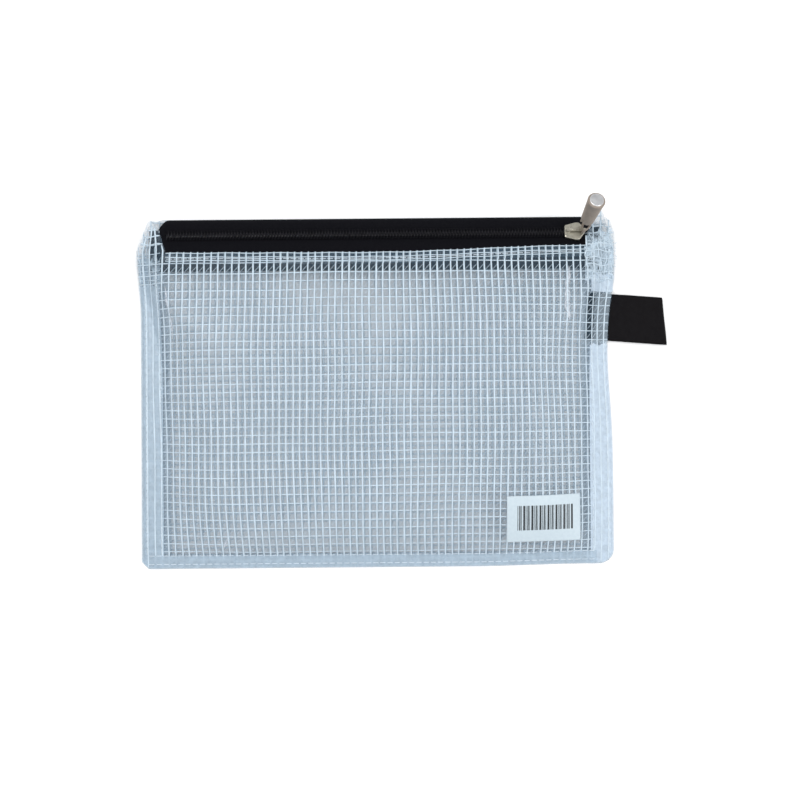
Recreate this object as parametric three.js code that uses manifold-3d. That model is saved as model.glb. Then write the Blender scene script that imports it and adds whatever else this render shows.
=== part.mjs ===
// Zipper pouch of clear film reinforced with a woven grid, lying on its back.
// Millimetres. +X runs along the zipper, +Y towards the zipper edge, +Z up from the table.
// The origin is on the flat underside of the back panel, at the middle of the pouch.

import * as THREE from 'three';
import { mergeVertices } from 'three/addons/utils/BufferGeometryUtils.js';
import Module from 'manifold-3d';

const wasm = await Module();
wasm.setup();

// Pouch outline
const HALF_WIDTH = 95.0;
const BOTTOM_Y = -70.0;
const CHAIN_Y = 63.3; // centre line of the zipper
const HEM_DROP = 7.0; // from there to the front panel's upper edge, at the middle of the mouth
const HEM_CLIMB = 2.15; // how much higher that edge is at the slider end
const HEM_CLIMB_LEFT = 0.3; // and at the other end
const HEM_BAND = 4.8; // width of the turned hem
const MOUTH_INSET_LEFT = 11.6; // from the side of the pouch to the end of the mouth
const MOUTH_INSET_RIGHT = 11.0;
const CORNER_CHAMFER = 2.8; // lower left corner
const CORNER_RADIUS = 6.0; // lower right corner
const LEFT_LEAN = 0.6; // small departures of the sides from straight lines
const FLARE_LEFT = 1.3;
const FLARE_RIGHT = 0.6;
const FLARE_DROP = 33.3; // the sides start to flare this far below the zipper
const FLARE_SPAN = 25.0;
const WAIST_RIGHT = 1.9;
const WAIST_DROP = 47.3; // and the waist is this far below it
const WAIST_SPAN = 24.0;
const BOTTOM_CLIMB = 0.8; // how much higher the bottom edge is at the right
const SIDE_SEAM = 9.5; // width of the seam strip at each side
const BOTTOM_SEAM = 5.5;

// Points of the ears that close the ends of the zipper, each as its distance in from the side
// of the pouch and its distance above the zipper's centre line
const LEFT_EAR = [[0, -5.5], [4.0, 2.2], [6.7, 6.2], [8.8, 2.7]];
const RIGHT_EAR = [[10.2, 1.3], [7.0, 4.2], [3.5, 4.2], [0, -2.8]];
const BACK_EAR_LEFT = 6.7; // the back panel's ears above the same line
const BACK_EAR_RIGHT = 9.9;

// Sheets and gaps
const SHEET = 0.45; // film with its grid
const HEM_LAYER = 0.45; // second layer of the turned hem
const TAPE = 0.6;
const RIBBON = 0.35;
const STICKER = 0.15;
const GAP = 0.25; // between two sheets that are sewn together
const STICKER_GAP = 0.3;

// Height of the pouch
const BELLY_Z = 12.0; // of the zipper tape's plane carried on over the belly
const BELLY_TOP = 48.3; // the front panel is level this far below the zipper
const SIDE_ROLL = 29.5; // the front panel falls to its side seam over this distance
const BOTTOM_ROLL = 26.0; // and below this distance from the bottom seam
const EAR_LIFT = 3.2; // how far the upper corners stand off the table
const LIFT_DROP = 25.3; // they start to rise this far below the zipper
const LIFT_SPAN = 24.0;
const SIDE_STACK = 2.15; // height of the closed side seam
const EAR_STACK = 2.4;
const STACK_SPAN = 20.0; // the seam thickens over this distance, from where the sides flare
const BOTTOM_STACK = 1.3;
const BOTTOM_SPAN = 12.0;
const EDGE_CURL = 1.6; // width of the rolled outer edge
const EDGE_STACK = 0.75;

// Zipper
const CHAIN_TILT = 10; // degrees, how far the zipper leans towards +Y
const TAPE_REACH = 14.4; // from the zipper's centre line to a tape's outer edge
const TAPE_SLOT = 1.0; // between the two tapes
const TAPE_STRAIGHT = 4.0; // the front tape is flat this far from the centre line
const TAPE_BACK_STRAIGHT = 5.05; // and the back tape this far, before it folds down
const TAPE_MARGIN = 3.0; // of flat front panel beyond the front tape's hidden edge
const TAPE_INSET = 5.0; // from the side of the pouch to the ends of the tapes
const CORNER_START = 12.6; // nearer to the side than this, the folded edge rounds off
const CORNER_SPAN = 4.4;
const CORNER_FALL = 0.62; // and loses this share of its width above the zipper
const FOLD_RADIUS = 1.95;
const ROLL_START = 11.0; // nearer to the side than this, the tapes sink into the side seams
const ROLL_END = 3.0;
const TOOTH_PITCH = 1.2;
const TOOTH_REACH = 0.3; // how far a tooth passes the centre line
const TOOTH_ROOT = 0.4;
const TOOTH_TIP = 0.5;
const TOOTH_HEIGHT = 0.5;
const COIL_HALF_WIDTH = 2.0;
const COIL_HEEL = 0.5;
const COIL_HEIGHT = 1.45;
const COIL_INSET = 11.8; // from the side of the pouch to the ends of the coils
const CORD_DIAMETER = 0.8;

// Slider and pull
const SLIDER_INSET = 15.5; // from the right side of the pouch to the middle of the slider
const SLIDER_HALF_LENGTH = 4.1;
const SLIDER_NECK_X = -3.3; // the channel widens from here
const SLIDER_SHOULDER_X = 0.1; // to here
const SLIDER_CHEEK_END_X = 1.5; // and its walls end here
const SLIDER_WALL = 0.45;
const SLIDER_PLATE = 0.7;
const SLIDER_CLEARANCE = 0.15;
const SLIDER_LIFT = 0.2; // above the teeth and off the tapes
const POST_WIDTH = 0.8;
const POST_CLEARANCE = 0.2;
const BRIDGE_WIDTH = 1.0;
const BRIDGE_GAP = 1.55; // room under the bridge for the pull's pin
const BRIDGE_THICKNESS = 0.8;
const PIN_X = 2.7;
const PIN_DIAMETER = 0.8;
const EYE_CLEARANCE = 0.3;
const EYE_WALL = 0.6;
const EYE_LENGTH = 3.3; // from the pin to the solid neck
const PULL_LENGTH = 23.5; // from the pin to the free end
const PULL_BASE_DIAMETER = 4.9;
const PULL_END_DIAMETER = 6.9;
const PULL_CHAMFER = 0.7;
const PULL_LEAN = 6.5; // degrees towards +X at rest
const PULL_TIP = 11.8; // degrees towards +Y, within the play of its eye

// Label and sticker
const LABEL_WIDTH = 18.8;
const LABEL_DROP = 33.5; // from the zipper down to the label's middle
const LABEL_OUT = 22.4; // beyond the side seam
const LABEL_SKEW = 0.17; // how far the fold is off square
const LABEL_TAIL = 9.0; // hidden in the seam
const LABEL_TURN = -4.5; // degrees about Z
const LABEL_LOOP = 1.7; // between the middles of its two layers at the fold
const LABEL_MARGIN = 3.0; // the seam's edge stays open this far beyond the label
const LABEL_FADE = 2.0;
const STICKER_INSET = 28.8; // from the right side of the pouch to the sticker's middle
const STICKER_RISE = 19.9; // and from the bottom edge
const STICKER_WIDTH = 29.8;
const STICKER_HEIGHT = 18.8;
const STICKER_TURN = 1.0; // degrees about Z

const rad = THREE.MathUtils.degToRad;
const lerp = THREE.MathUtils.lerp;
const ramp = (t) => Math.min(1, Math.max(0, t));
const smooth = (t) => ramp(t) ** 2 * (3 - 2 * ramp(t));
const along = (points, x) => {
  const next = points.findIndex((p) => p[0] >= x);
  if (next === 0) return points[0][1];
  if (next < 0) return points[points.length - 1][1];
  const [a, b] = [points[next - 1], points[next]];
  return lerp(a[1], b[1], (x - a[0]) / (b[0] - a[0]));
};

// Places that follow from the outline
const HEM_Y = CHAIN_Y - HEM_DROP;
const MOUTH_LEFT_X = MOUTH_INSET_LEFT - HALF_WIDTH;
const MOUTH_RIGHT_X = HALF_WIDTH - MOUTH_INSET_RIGHT;
const EAR_LINE = [
  ...LEFT_EAR.map(([inset, up]) => [inset - HALF_WIDTH, CHAIN_Y + up]),
  ...RIGHT_EAR.map(([inset, up]) => [HALF_WIDTH - inset, CHAIN_Y + up]),
];
const BELLY_Y = CHAIN_Y - BELLY_TOP;
const FLAT_HALF_WIDTH = HALF_WIDTH - SIDE_SEAM - SIDE_ROLL;
const TAPE_END_X = HALF_WIDTH - TAPE_INSET;
const ROLL_START_X = HALF_WIDTH - ROLL_START;
const ROLL_END_X = HALF_WIDTH - ROLL_END;
const COIL_END_X = HALF_WIDTH - COIL_INSET;
const SLIDER_X = HALF_WIDTH - SLIDER_INSET;
const LABEL_Y = CHAIN_Y - LABEL_DROP;
const STICKER_X = HALF_WIDTH - STICKER_INSET;
const STICKER_Y = BOTTOM_Y + STICKER_RISE;

// Heights that follow from the layers
const SHEET_ON_TAPE = (SHEET + TAPE) / 2 + GAP;
const TAPE_ON_TAPE = TAPE + GAP;
const LOWER_LEG_Z = SHEET / 2 + SHEET_ON_TAPE;
const TILT = rad(CHAIN_TILT);
const FOLD_DROP = FOLD_RADIUS * (1 + Math.cos(TILT));
const CHAIN_Z = LOWER_LEG_Z + FOLD_DROP + TAPE_BACK_STRAIGHT * Math.sin(TILT);
const FOLD_Y = CHAIN_Y + TAPE_BACK_STRAIGHT * Math.cos(TILT) - FOLD_RADIUS * Math.sin(TILT);

// The sides get steeper towards the zipper, and do so between the belly and the tape's hidden edge
const HIGH_SPAN = 40.0;
const HIGH_START_Y = CHAIN_Y - TAPE_REACH - TAPE_MARGIN - HIGH_SPAN;

// How far the side of the pouch has risen from its seam, from 0 in the seam to 1 inside
function rise(x, y) {
  const high = smooth((y - HIGH_START_Y) / HIGH_SPAN);
  const start = lerp(FLAT_HALF_WIDTH, ROLL_START_X, high);
  const end = lerp(HALF_WIDTH - SIDE_SEAM, ROLL_END_X, high);
  const side = ramp((end - Math.abs(x)) / (end - start));
  const round = 1 - (1 - side) ** 2;
  const bottom = ramp((y - BOTTOM_Y - BOTTOM_SEAM) / BOTTOM_ROLL);
  return lerp(round, smooth(side), high) * (1 - (1 - bottom) ** 2);
}

// How far the back panel stands off the table: only at the two upper corners
const lift = (x, y) =>
  EAR_LIFT * smooth((Math.abs(x) - ROLL_START_X) / (ROLL_START - ROLL_END))
  * smooth((y - CHAIN_Y + LIFT_DROP) / LIFT_SPAN);

// Height of the zipper tape's middle, and of its plane carried on over the belly
const FRONT_BEND_Y = CHAIN_Y - TAPE_STRAIGHT * Math.cos(TILT);
function tapeZ(y) {
  if (y > FRONT_BEND_Y) return CHAIN_Z - (y - CHAIN_Y) * Math.tan(TILT);
  const span = FRONT_BEND_Y - BELLY_Y;
  const t = ramp((FRONT_BEND_Y - y) / span);
  const start = CHAIN_Z + TAPE_STRAIGHT * Math.sin(TILT);
  const slope = Math.tan(TILT) * span;
  return (2 * t ** 3 - 3 * t ** 2 + 1) * start + (t ** 3 - 2 * t ** 2 + t) * slope
    + (3 * t ** 2 - 2 * t ** 3) * BELLY_Z;
}

// Outline of the panels
const flare = (y) => smooth((y - CHAIN_Y + FLARE_DROP) / FLARE_SPAN);
const leftEdge = (y) =>
  -HALF_WIDTH + LEFT_LEAN * ramp((y - BOTTOM_Y) / (CHAIN_Y - BOTTOM_Y)) - FLARE_LEFT * flare(y);
const rightEdge = (y) =>
  HALF_WIDTH - WAIST_RIGHT * Math.exp(-(((y - CHAIN_Y + WAIST_DROP) / WAIST_SPAN) ** 2)) + FLARE_RIGHT * flare(y);
const hemY = (x) =>
  HEM_Y + HEM_CLIMB_LEFT * smooth(x / MOUTH_LEFT_X) + HEM_CLIMB * smooth(x / MOUTH_RIGHT_X);
function bottomY(x) {
  const left = Math.max(0, CORNER_CHAMFER - HALF_WIDTH - x);
  const reach = Math.max(0, x - (HALF_WIDTH - CORNER_RADIUS));
  const right = CORNER_RADIUS - Math.sqrt(CORNER_RADIUS ** 2 - Math.min(reach, CORNER_RADIUS * 0.995) ** 2);
  return BOTTOM_Y + left + right + BOTTOM_CLIMB * smooth((x / HALF_WIDTH - 0.4) * 2);
}
function topY(x) {
  const mouth = [[MOUTH_LEFT_X, hemY(MOUTH_LEFT_X)], [MOUTH_RIGHT_X, hemY(MOUTH_RIGHT_X)]];
  if (x >= MOUTH_LEFT_X && x <= MOUTH_RIGHT_X) return hemY(x);
  return along([...EAR_LINE, ...mouth].sort((a, b) => a[0] - b[0]), x);
}
// Moves a point of the panel grid so that the outermost columns follow the side edges
function toEdge(x, y) {
  const near = ramp((Math.abs(x) - (HALF_WIDTH - SIDE_SEAM)) / SIDE_SEAM);
  const shift = x < 0 ? leftEdge(y) + HALF_WIDTH : rightEdge(y) - HALF_WIDTH;
  return x + shift * near;
}

// Middle height of the front panel
const inLabel = (x, y) =>
  x > 0 ? smooth((LABEL_WIDTH / 2 + LABEL_MARGIN - Math.abs(y - LABEL_Y)) / LABEL_FADE) : 0;
function frontZ(x, y) {
  const edge = Math.min(HALF_WIDTH - Math.abs(x), y - bottomY(x));
  const seam = lerp(SIDE_STACK, EAR_STACK, smooth((y - CHAIN_Y + FLARE_DROP) / STACK_SPAN));
  const low = lerp(BOTTOM_STACK, seam, smooth((y - BOTTOM_Y) / BOTTOM_SPAN));
  const curl = (1 - smooth(edge / EDGE_CURL)) * (1 - inLabel(x, y));
  const closed = lerp(low, EDGE_STACK, curl);
  const full = tapeZ(y) + SHEET_ON_TAPE - SHEET / 2;
  return SHEET / 2 + lift(x, y) + lerp(closed, full, rise(x, y));
}

// Builds a closed solid from two grids of points, one for each face of a sheet
function sheetGeometry(faceA, faceB) {
  const columns = faceA.length;
  const rows = faceA[0].length;
  const points = [...faceA.flat(), ...faceB.flat()].flatMap((p) => [p.x, p.y, p.z]);
  const index = [];
  const a = (i, j) => i * rows + j;
  const b = (i, j) => columns * rows + i * rows + j;
  const quad = (p, q, r, s) => index.push(p, q, r, p, r, s);
  for (let i = 0; i + 1 < columns; i++) {
    for (let j = 0; j + 1 < rows; j++) {
      quad(a(i, j), a(i + 1, j), a(i + 1, j + 1), a(i, j + 1));
      quad(b(i, j), b(i, j + 1), b(i + 1, j + 1), b(i + 1, j));
    }
    quad(a(i, 0), b(i, 0), b(i + 1, 0), a(i + 1, 0));
    quad(a(i, rows - 1), a(i + 1, rows - 1), b(i + 1, rows - 1), b(i, rows - 1));
  }
  for (let j = 0; j + 1 < rows; j++) {
    quad(a(0, j), a(0, j + 1), b(0, j + 1), b(0, j));
    quad(a(columns - 1, j), b(columns - 1, j), b(columns - 1, j + 1), a(columns - 1, j + 1));
  }
  const geometry = new THREE.BufferGeometry();
  geometry.setAttribute('position', new THREE.Float32BufferAttribute(points, 3));
  geometry.setIndex(index);
  geometry.computeVertexNormals();
  return geometry;
}
const gridOf = (xs, ts, at) => xs.map((x) => ts.map((t) => at(x, t)));

// Joins and cuts
function solid(geometry) {
  const bare = geometry.clone();
  bare.deleteAttribute('normal');
  bare.deleteAttribute('uv');
  const merged = mergeVertices(bare, 1e-4);
  return new wasm.Manifold(new wasm.Mesh({
    numProp: 3,
    vertProperties: new Float32Array(merged.attributes.position.array),
    triVerts: new Uint32Array(merged.index.array),
  }));
}
function geometryOf(manifold) {
  const mesh = manifold.getMesh();
  const geometry = new THREE.BufferGeometry();
  geometry.setAttribute('position', new THREE.BufferAttribute(mesh.vertProperties, 3));
  geometry.setIndex(new THREE.BufferAttribute(mesh.triVerts, 1));
  geometry.computeVertexNormals();
  return geometry;
}
const union = (...parts) => parts.map(solid).reduce((a, b) => a.add(b));
function extrude(points, low, high) {
  const shape = new THREE.Shape(points.map(([x, y]) => new THREE.Vector2(x, y)));
  const geometry = new THREE.ExtrudeGeometry(shape, { depth: high - low, bevelEnabled: false });
  return geometry.translate(0, 0, low);
}
// The same, for a profile in the XZ plane that is wide along Y
function extrudeAcross(points, low, high) {
  return extrude(points, -high, -low).rotateX(Math.PI / 2);
}
const arc = (cx, cy, r, from, to, steps) => Array.from({ length: steps + 1 }, (_, k) => {
  const angle = rad(lerp(from, to, k / steps));
  return [cx + r * Math.cos(angle), cy + r * Math.sin(angle)];
});

// Stations of the sheets along X, closest together where the ends sink into the seams
const END_STATIONS = [8.8, 7.0, TAPE_INSET].map((inset) => HALF_WIDTH - inset);
const SEAM_STATIONS = [ROLL_END, 1.4, 0.6, 0].map((inset) => HALF_WIDTH - inset);
const MIDDLE_SHARES = [0.95, 0.863, 0.768, 0.655, 0.512, 0.321, 0.107];
const MIDDLE = MIDDLE_SHARES.map((share) => share * ROLL_START_X);
const mirrored = (list) => list.map((x) => -x).toReversed();
const PANEL_XS = [
  ...mirrored([...END_STATIONS, ...SEAM_STATIONS]), -ROLL_START_X, MOUTH_LEFT_X,
  ...MIDDLE.map((x) => -x), ...MIDDLE.toReversed(), MOUTH_RIGHT_X, ...END_STATIONS, ...SEAM_STATIONS,
];
const TAPE_XS = [
  ...mirrored(END_STATIONS), -ROLL_START_X, -MIDDLE[0], -MIDDLE[5], MIDDLE[5], MIDDLE[0],
  ROLL_START_X, ...END_STATIONS,
];

function frontPanel() {
  const hem = 1 - HEM_BAND / (HEM_Y - BOTTOM_Y);
  const rows = [0, 0.006, 0.013, 0.04, 0.08, 0.125, 0.18, 0.25, 0.36, 0.5, 0.62, 0.685, 0.76, 0.84, 0.885, 0.925,
    hem, hem + 0.005, 1];
  const face = (side) => gridOf(PANEL_XS, rows, (x, t) => {
    const y = lerp(bottomY(x), topY(x), t);
    const hemmed = side > 0 && t > hem ? HEM_LAYER : 0;
    return new THREE.Vector3(toEdge(x, y), y, frontZ(x, y) + side * SHEET / 2 + hemmed);
  });
  return sheetGeometry(face(1), face(-1));
}

// The back panel lies on the table and turns up round the lower half of the zipper's fold
const BACK_TURN = rad(65);
const BACK_FLAT_DROP = 3.3; // its rows are level up to this far below the zipper
const EAR_SPAN = 4.0; // its flat ears begin over this distance
const BACK_RADIUS = FOLD_RADIUS + SHEET_ON_TAPE;
function backPoint(x, t, side) {
  const last = FOLD_Y + BACK_RADIUS * BACK_TURN;
  const straight = CHAIN_Y - BACK_FLAT_DROP;
  const isEar = smooth((Math.abs(x) - ROLL_START_X) / EAR_SPAN);
  const reach = CHAIN_Y + (x < 0 ? BACK_EAR_LEFT : BACK_EAR_RIGHT);
  const ear = lerp(reach, topY(x < 0 ? -HALF_WIDTH : HALF_WIDTH), smooth((Math.abs(x) - TAPE_END_X) / TAPE_INSET));
  const end = lerp(last, ear, isEar);
  const q = t < 1 ? lerp(bottomY(x), straight, t) : lerp(straight, end, t - 1);
  const angle = Math.max(0, (q - FOLD_Y) / BACK_RADIUS) * (1 - isEar);
  const flat = Math.min(q, FOLD_Y) * (1 - isEar) + q * isEar;
  const y = flat + BACK_RADIUS * Math.sin(angle) - side * (SHEET / 2) * Math.sin(angle);
  const z = SHEET / 2 + BACK_RADIUS * (1 - Math.cos(angle)) + side * (SHEET / 2) * Math.cos(angle);
  return new THREE.Vector3(toEdge(x, y), y, z + lift(x, y));
}
function backPanel() {
  const rows = [0, 0.012, 0.35, 0.8, 0.86, 0.91, 0.955, 1, 1.35, 1.68, 1.76, 1.84, 1.92, 2];
  const xs = PANEL_XS.filter((x) => !MIDDLE.slice(3).includes(Math.abs(x)));
  const face = (side) => gridOf(xs, rows, (x, t) => backPoint(x, t, side));
  return sheetGeometry(face(1), face(-1));
}

// A tape point at distance s from the zipper's centre line, side +1 on its upper face
function tapePoint(x, s, side) {
  let y;
  let z;
  let angle = -TILT;
  let least = TAPE_ON_TAPE + SHEET_ON_TAPE;
  const foldLength = FOLD_RADIUS * (Math.PI - TILT);
  if (s < 0) {
    y = CHAIN_Y + s * Math.cos(TILT) - Math.max(0, -TAPE_STRAIGHT - s) * (1 - Math.cos(TILT)) * 0.9;
    z = tapeZ(y);
    angle = Math.atan((tapeZ(y + 0.05) - tapeZ(y - 0.05)) / 0.1);
  } else if (s <= TAPE_BACK_STRAIGHT) {
    y = CHAIN_Y + s * Math.cos(TILT);
    z = CHAIN_Z - s * Math.sin(TILT);
  } else {
    const turned = Math.min(s - TAPE_BACK_STRAIGHT, foldLength);
    const rest = s - TAPE_BACK_STRAIGHT - turned;
    angle = -TILT - turned / FOLD_RADIUS;
    y = FOLD_Y - FOLD_RADIUS * Math.sin(angle) - rest;
    z = LOWER_LEG_Z + FOLD_RADIUS * (1 + Math.cos(angle));
    least -= TAPE_ON_TAPE * (turned / foldLength);
  }
  y -= side * (TAPE / 2) * Math.sin(angle);
  const corner = ramp((Math.abs(x) - HALF_WIDTH + CORNER_START) / CORNER_SPAN) ** 2;
  if (y > CHAIN_Y) y = lerp(y, CHAIN_Y, CORNER_FALL * corner);
  const middle = SHEET / 2 + lift(x, y) + lerp(least, z - SHEET / 2, rise(x, y));
  return new THREE.Vector3(x, y, middle + side * (TAPE / 2) * Math.cos(angle));
}
function tapeGeometry(distances) {
  const face = (side) => gridOf(TAPE_XS, distances, (x, s) => tapePoint(x, s, side));
  return sheetGeometry(face(1), face(-1));
}
function frontTape() {
  const hidden = [1, 0.72, 0.48, 0.29, 0.13, 0].map((t) => lerp(-TAPE_STRAIGHT, -TAPE_REACH, t));
  return tapeGeometry([...hidden, -TAPE_SLOT / 2]);
}
function backTape() {
  const foldLength = FOLD_RADIUS * (Math.PI - TILT);
  const turns = Array.from({ length: 8 }, (_, k) => TAPE_BACK_STRAIGHT + foldLength * (k / 7));
  return tapeGeometry([TAPE_SLOT / 2, ...turns, TAPE_REACH]);
}

// Half the distance between the two coils: they part round the slider's post
const PARTED = TOOTH_REACH + POST_WIDTH / 2 + POST_CLEARANCE;
const parting = (x) =>
  PARTED * ramp((x - SLIDER_X - SLIDER_NECK_X) / (SLIDER_SHOULDER_X - SLIDER_NECK_X));
const PARTING_XS = [SLIDER_X + SLIDER_NECK_X, SLIDER_X + SLIDER_SHOULDER_X];

// One coil in the zipper's own frame: a row of teeth on a heel that is sewn to the tape
const COIL_Z = TAPE / 2 + GAP;
const COIL_TOP = COIL_Z + COIL_HEIGHT;
const TOOTH_COUNT = Math.floor((2 * COIL_END_X - TOOTH_PITCH) / TOOTH_PITCH);
function coil(side) {
  const place = (x, reach) => [x, side * (parting(x) + reach)];
  const heelXs = [-COIL_END_X, ...PARTING_XS, COIL_END_X];
  const outer = heelXs.map((x) => place(x, COIL_HALF_WIDTH));
  const inner = heelXs.map((x) => place(x, COIL_HALF_WIDTH - COIL_HEEL));
  const first = -COIL_END_X + TOOTH_PITCH * (side < 0 ? 0.5 : 1);
  const comb = [];
  for (let k = 0; k < TOOTH_COUNT; k++) {
    const x = first + k * TOOTH_PITCH;
    comb.push(
      place(x - TOOTH_ROOT / 2, COIL_HALF_WIDTH - COIL_HEEL), place(x - TOOTH_TIP / 2, -TOOTH_REACH),
      place(x + TOOTH_TIP / 2, -TOOTH_REACH), place(x + TOOTH_ROOT / 2, COIL_HALF_WIDTH - COIL_HEEL),
    );
  }
  const teeth = [inner[0], ...comb, inner[inner.length - 1], ...outer.toReversed()];
  const heel = [...inner, ...outer.toReversed()];
  return geometryOf(union(
    extrude(teeth, COIL_TOP - TOOTH_HEIGHT, COIL_TOP),
    extrude(heel, COIL_Z, COIL_TOP - TOOTH_HEIGHT / 2),
  ));
}
// The cord that each coil is wound on lies under its teeth, beside the heel
function coilCord(side) {
  const room = COIL_HEIGHT - TOOTH_HEIGHT;
  const reach = COIL_HALF_WIDTH - COIL_HEEL - CORD_DIAMETER / 2 - 0.15;
  const z = COIL_Z + room / 2 - 0.02;
  const sides = 8;
  const ring = (x) => Array.from({ length: sides }, (_, k) => {
    const angle = (2 * Math.PI * (k + 0.5)) / sides;
    const y = side * (parting(x) + reach) + (CORD_DIAMETER / 2) * Math.cos(angle);
    return [x, y, z + (CORD_DIAMETER / 2) * Math.sin(angle)];
  });
  const xs = [-COIL_END_X, ...PARTING_XS, COIL_END_X];
  const rings = xs.map(ring);
  const index = [];
  for (let i = 0; i + 1 < xs.length; i++) {
    for (let k = 0; k < sides; k++) {
      const next = (k + 1) % sides;
      const [p, q, r, s] = [i * sides + k, i * sides + next, (i + 1) * sides + next, (i + 1) * sides + k];
      index.push(p, q, r, p, r, s);
    }
  }
  const last = (xs.length - 1) * sides;
  for (let k = 1; k + 1 < sides; k++) index.push(0, k + 1, k, last, last + k, last + k + 1);
  const geometry = new THREE.BufferGeometry();
  geometry.setAttribute('position', new THREE.Float32BufferAttribute(rings.flat(2), 3));
  geometry.setIndex(index);
  geometry.computeVertexNormals();
  return geometry;
}

// Slider: two plates joined by a post, side walls, and a bridge for the pull.
// Its frame has its origin on the zipper's centre line and Z along the zipper's normal.
const CHANNEL_TOP = COIL_TOP + SLIDER_LIFT;
const SLIDER_TOP = CHANNEL_TOP + SLIDER_PLATE;
const NARROW = COIL_HALF_WIDTH + SLIDER_CLEARANCE;
const WIDE = NARROW + PARTED;
function mirrorOutline(half) {
  return [...half, ...half.filter(([, y]) => y !== 0).toReversed().map(([x, y]) => [x, -y])];
}
function plateOutline(inset) {
  const end = SLIDER_HALF_LENGTH - inset;
  return mirrorOutline([
    [-end, NARROW + SLIDER_WALL - 0.5 - inset], [-end + 0.5, NARROW + SLIDER_WALL - inset],
    [SLIDER_NECK_X, NARROW + SLIDER_WALL - inset],
    [SLIDER_SHOULDER_X, WIDE + SLIDER_WALL - inset],
    [SLIDER_CHEEK_END_X, WIDE + SLIDER_WALL - inset],
    [SLIDER_CHEEK_END_X + 0.8, WIDE - 0.2 - inset],
    [end - 0.5, 1.0], [end, 0.45],
  ]);
}
function bridgeProfile() {
  const top = BRIDGE_GAP + BRIDGE_THICKNESS;
  const end = SLIDER_HALF_LENGTH + 0.2;
  return [
    [-3.7, -0.1], [-3.5, 0.9], [-2.7, 1.7], [-1.4, top], [end - 1.1, top], [end - 0.3, top - 0.4],
    [end, top - 1.1], [end - 0.25, -0.1],
  ];
}
function bridgeHole() {
  return [
    [-2.2, 0], [-1.9, 0.8], [-1.1, BRIDGE_GAP], [PIN_X + 0.35, BRIDGE_GAP],
    [PIN_X + 0.6, BRIDGE_GAP - 0.3], [PIN_X + 0.6, 0],
  ];
}
function sliderBody() {
  const wallLow = TAPE / 2 + GAP;
  const cover = solid(extrude(plateOutline(0), wallLow, SLIDER_TOP - 0.2))
    .add(solid(extrude(plateOutline(0.25), SLIDER_TOP - 0.25, SLIDER_TOP)));
  const channel = mirrorOutline([
    [-SLIDER_HALF_LENGTH - 1, NARROW], [SLIDER_NECK_X, NARROW], [SLIDER_SHOULDER_X, WIDE],
    [SLIDER_HALF_LENGTH + 1, WIDE],
  ]);
  const base = extrude(plateOutline(0.1), -wallLow - SLIDER_PLATE, -wallLow);
  const post = mirrorOutline([
    [0.1, 0], [1.3, POST_WIDTH / 2], [2.7, POST_WIDTH / 2], [3.7, 0],
  ]);
  const bridge = solid(extrudeAcross(bridgeProfile(), -BRIDGE_WIDTH / 2, BRIDGE_WIDTH / 2))
    .subtract(solid(extrudeAcross(bridgeHole(), -BRIDGE_WIDTH, BRIDGE_WIDTH)))
    .translate(0, 0, SLIDER_TOP);
  return geometryOf(cover
    .subtract(solid(extrude(channel, wallLow - 1, CHANNEL_TOP)))
    .add(solid(base))
    .add(solid(extrude(post, -wallLow - SLIDER_PLATE / 2, CHANNEL_TOP + SLIDER_PLATE / 2)))
    .add(bridge));
}

// Pull: a tapered barrel whose eye holds a cross pin under the bridge. Its origin is on the pin.
function sliderPull() {
  const inner = BRIDGE_WIDTH / 2 + EYE_CLEARANCE;
  const outer = inner + EYE_WALL;
  const profile = [
    [0, EYE_LENGTH], [1.0, EYE_LENGTH], [PULL_BASE_DIAMETER / 2 - 0.45, EYE_LENGTH + 1.1],
    [PULL_BASE_DIAMETER / 2, EYE_LENGTH + 2.0],
    [PULL_END_DIAMETER / 2, PULL_LENGTH - PULL_CHAMFER],
    [PULL_END_DIAMETER / 2 - PULL_CHAMFER, PULL_LENGTH], [0, PULL_LENGTH],
  ].map(([r, z]) => new THREE.Vector2(r, z));
  const barrel = new THREE.LatheGeometry(profile, 32).rotateX(Math.PI / 2);
  const foot = PIN_DIAMETER / 2 + 0.05;
  const cheek = [
    ...arc(0, 0, foot, 180, 360, 6), [1.0, EYE_LENGTH - 0.6], [1.3, EYE_LENGTH + 0.9],
    [-1.3, EYE_LENGTH + 0.9], [-1.0, EYE_LENGTH - 0.6],
  ];
  const pin = new THREE.CylinderGeometry(PIN_DIAMETER / 2, PIN_DIAMETER / 2, 2 * outer - 0.2, 12);
  return geometryOf(union(
    barrel, extrudeAcross(cheek, inner, outer), extrudeAcross(cheek, -outer, -inner), pin,
  ));
}

// Label: a ribbon folded in two, with both ends sewn into the right side seam.
// Its frame has its origin on the seam's outer edge, at the label's middle.
function labelGeometry() {
  const lower = SHEET + GAP + RIBBON / 2;
  const upper = lower + RIBBON + GAP;
  const far = LABEL_OUT - LABEL_LOOP / 2;
  const tipLow = 0.12 + RIBBON / 2;
  const radius = LABEL_LOOP / 2;
  const path = [
    [-LABEL_TAIL, lower], [-2, lower], [1, lower], [7, lower * 0.75], [14, tipLow + 0.05],
    ...arc(far, tipLow + radius, radius, -90, 90, 8),
    [14, tipLow + LABEL_LOOP + 0.1], [7, upper + 0.75], [1, upper + 0.1], [-2, upper], [-LABEL_TAIL, upper],
  ];
  const normals = path.map((_, k) => {
    const a = path[Math.max(0, k - 1)];
    const b = path[Math.min(path.length - 1, k + 1)];
    const length = Math.hypot(b[0] - a[0], b[1] - a[1]);
    return [-(b[1] - a[1]) / length, (b[0] - a[0]) / length];
  });
  const across = [-0.5, 0.5];
  const face = (side) => path.map(([x, z], k) => across.map((w) => new THREE.Vector3(
    x + side * (RIBBON / 2) * normals[k][0] - w * LABEL_WIDTH * LABEL_SKEW * ramp(x / LABEL_OUT),
    w * LABEL_WIDTH,
    z + side * (RIBBON / 2) * normals[k][1],
  )));
  return sheetGeometry(face(1), face(-1));
}

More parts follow.
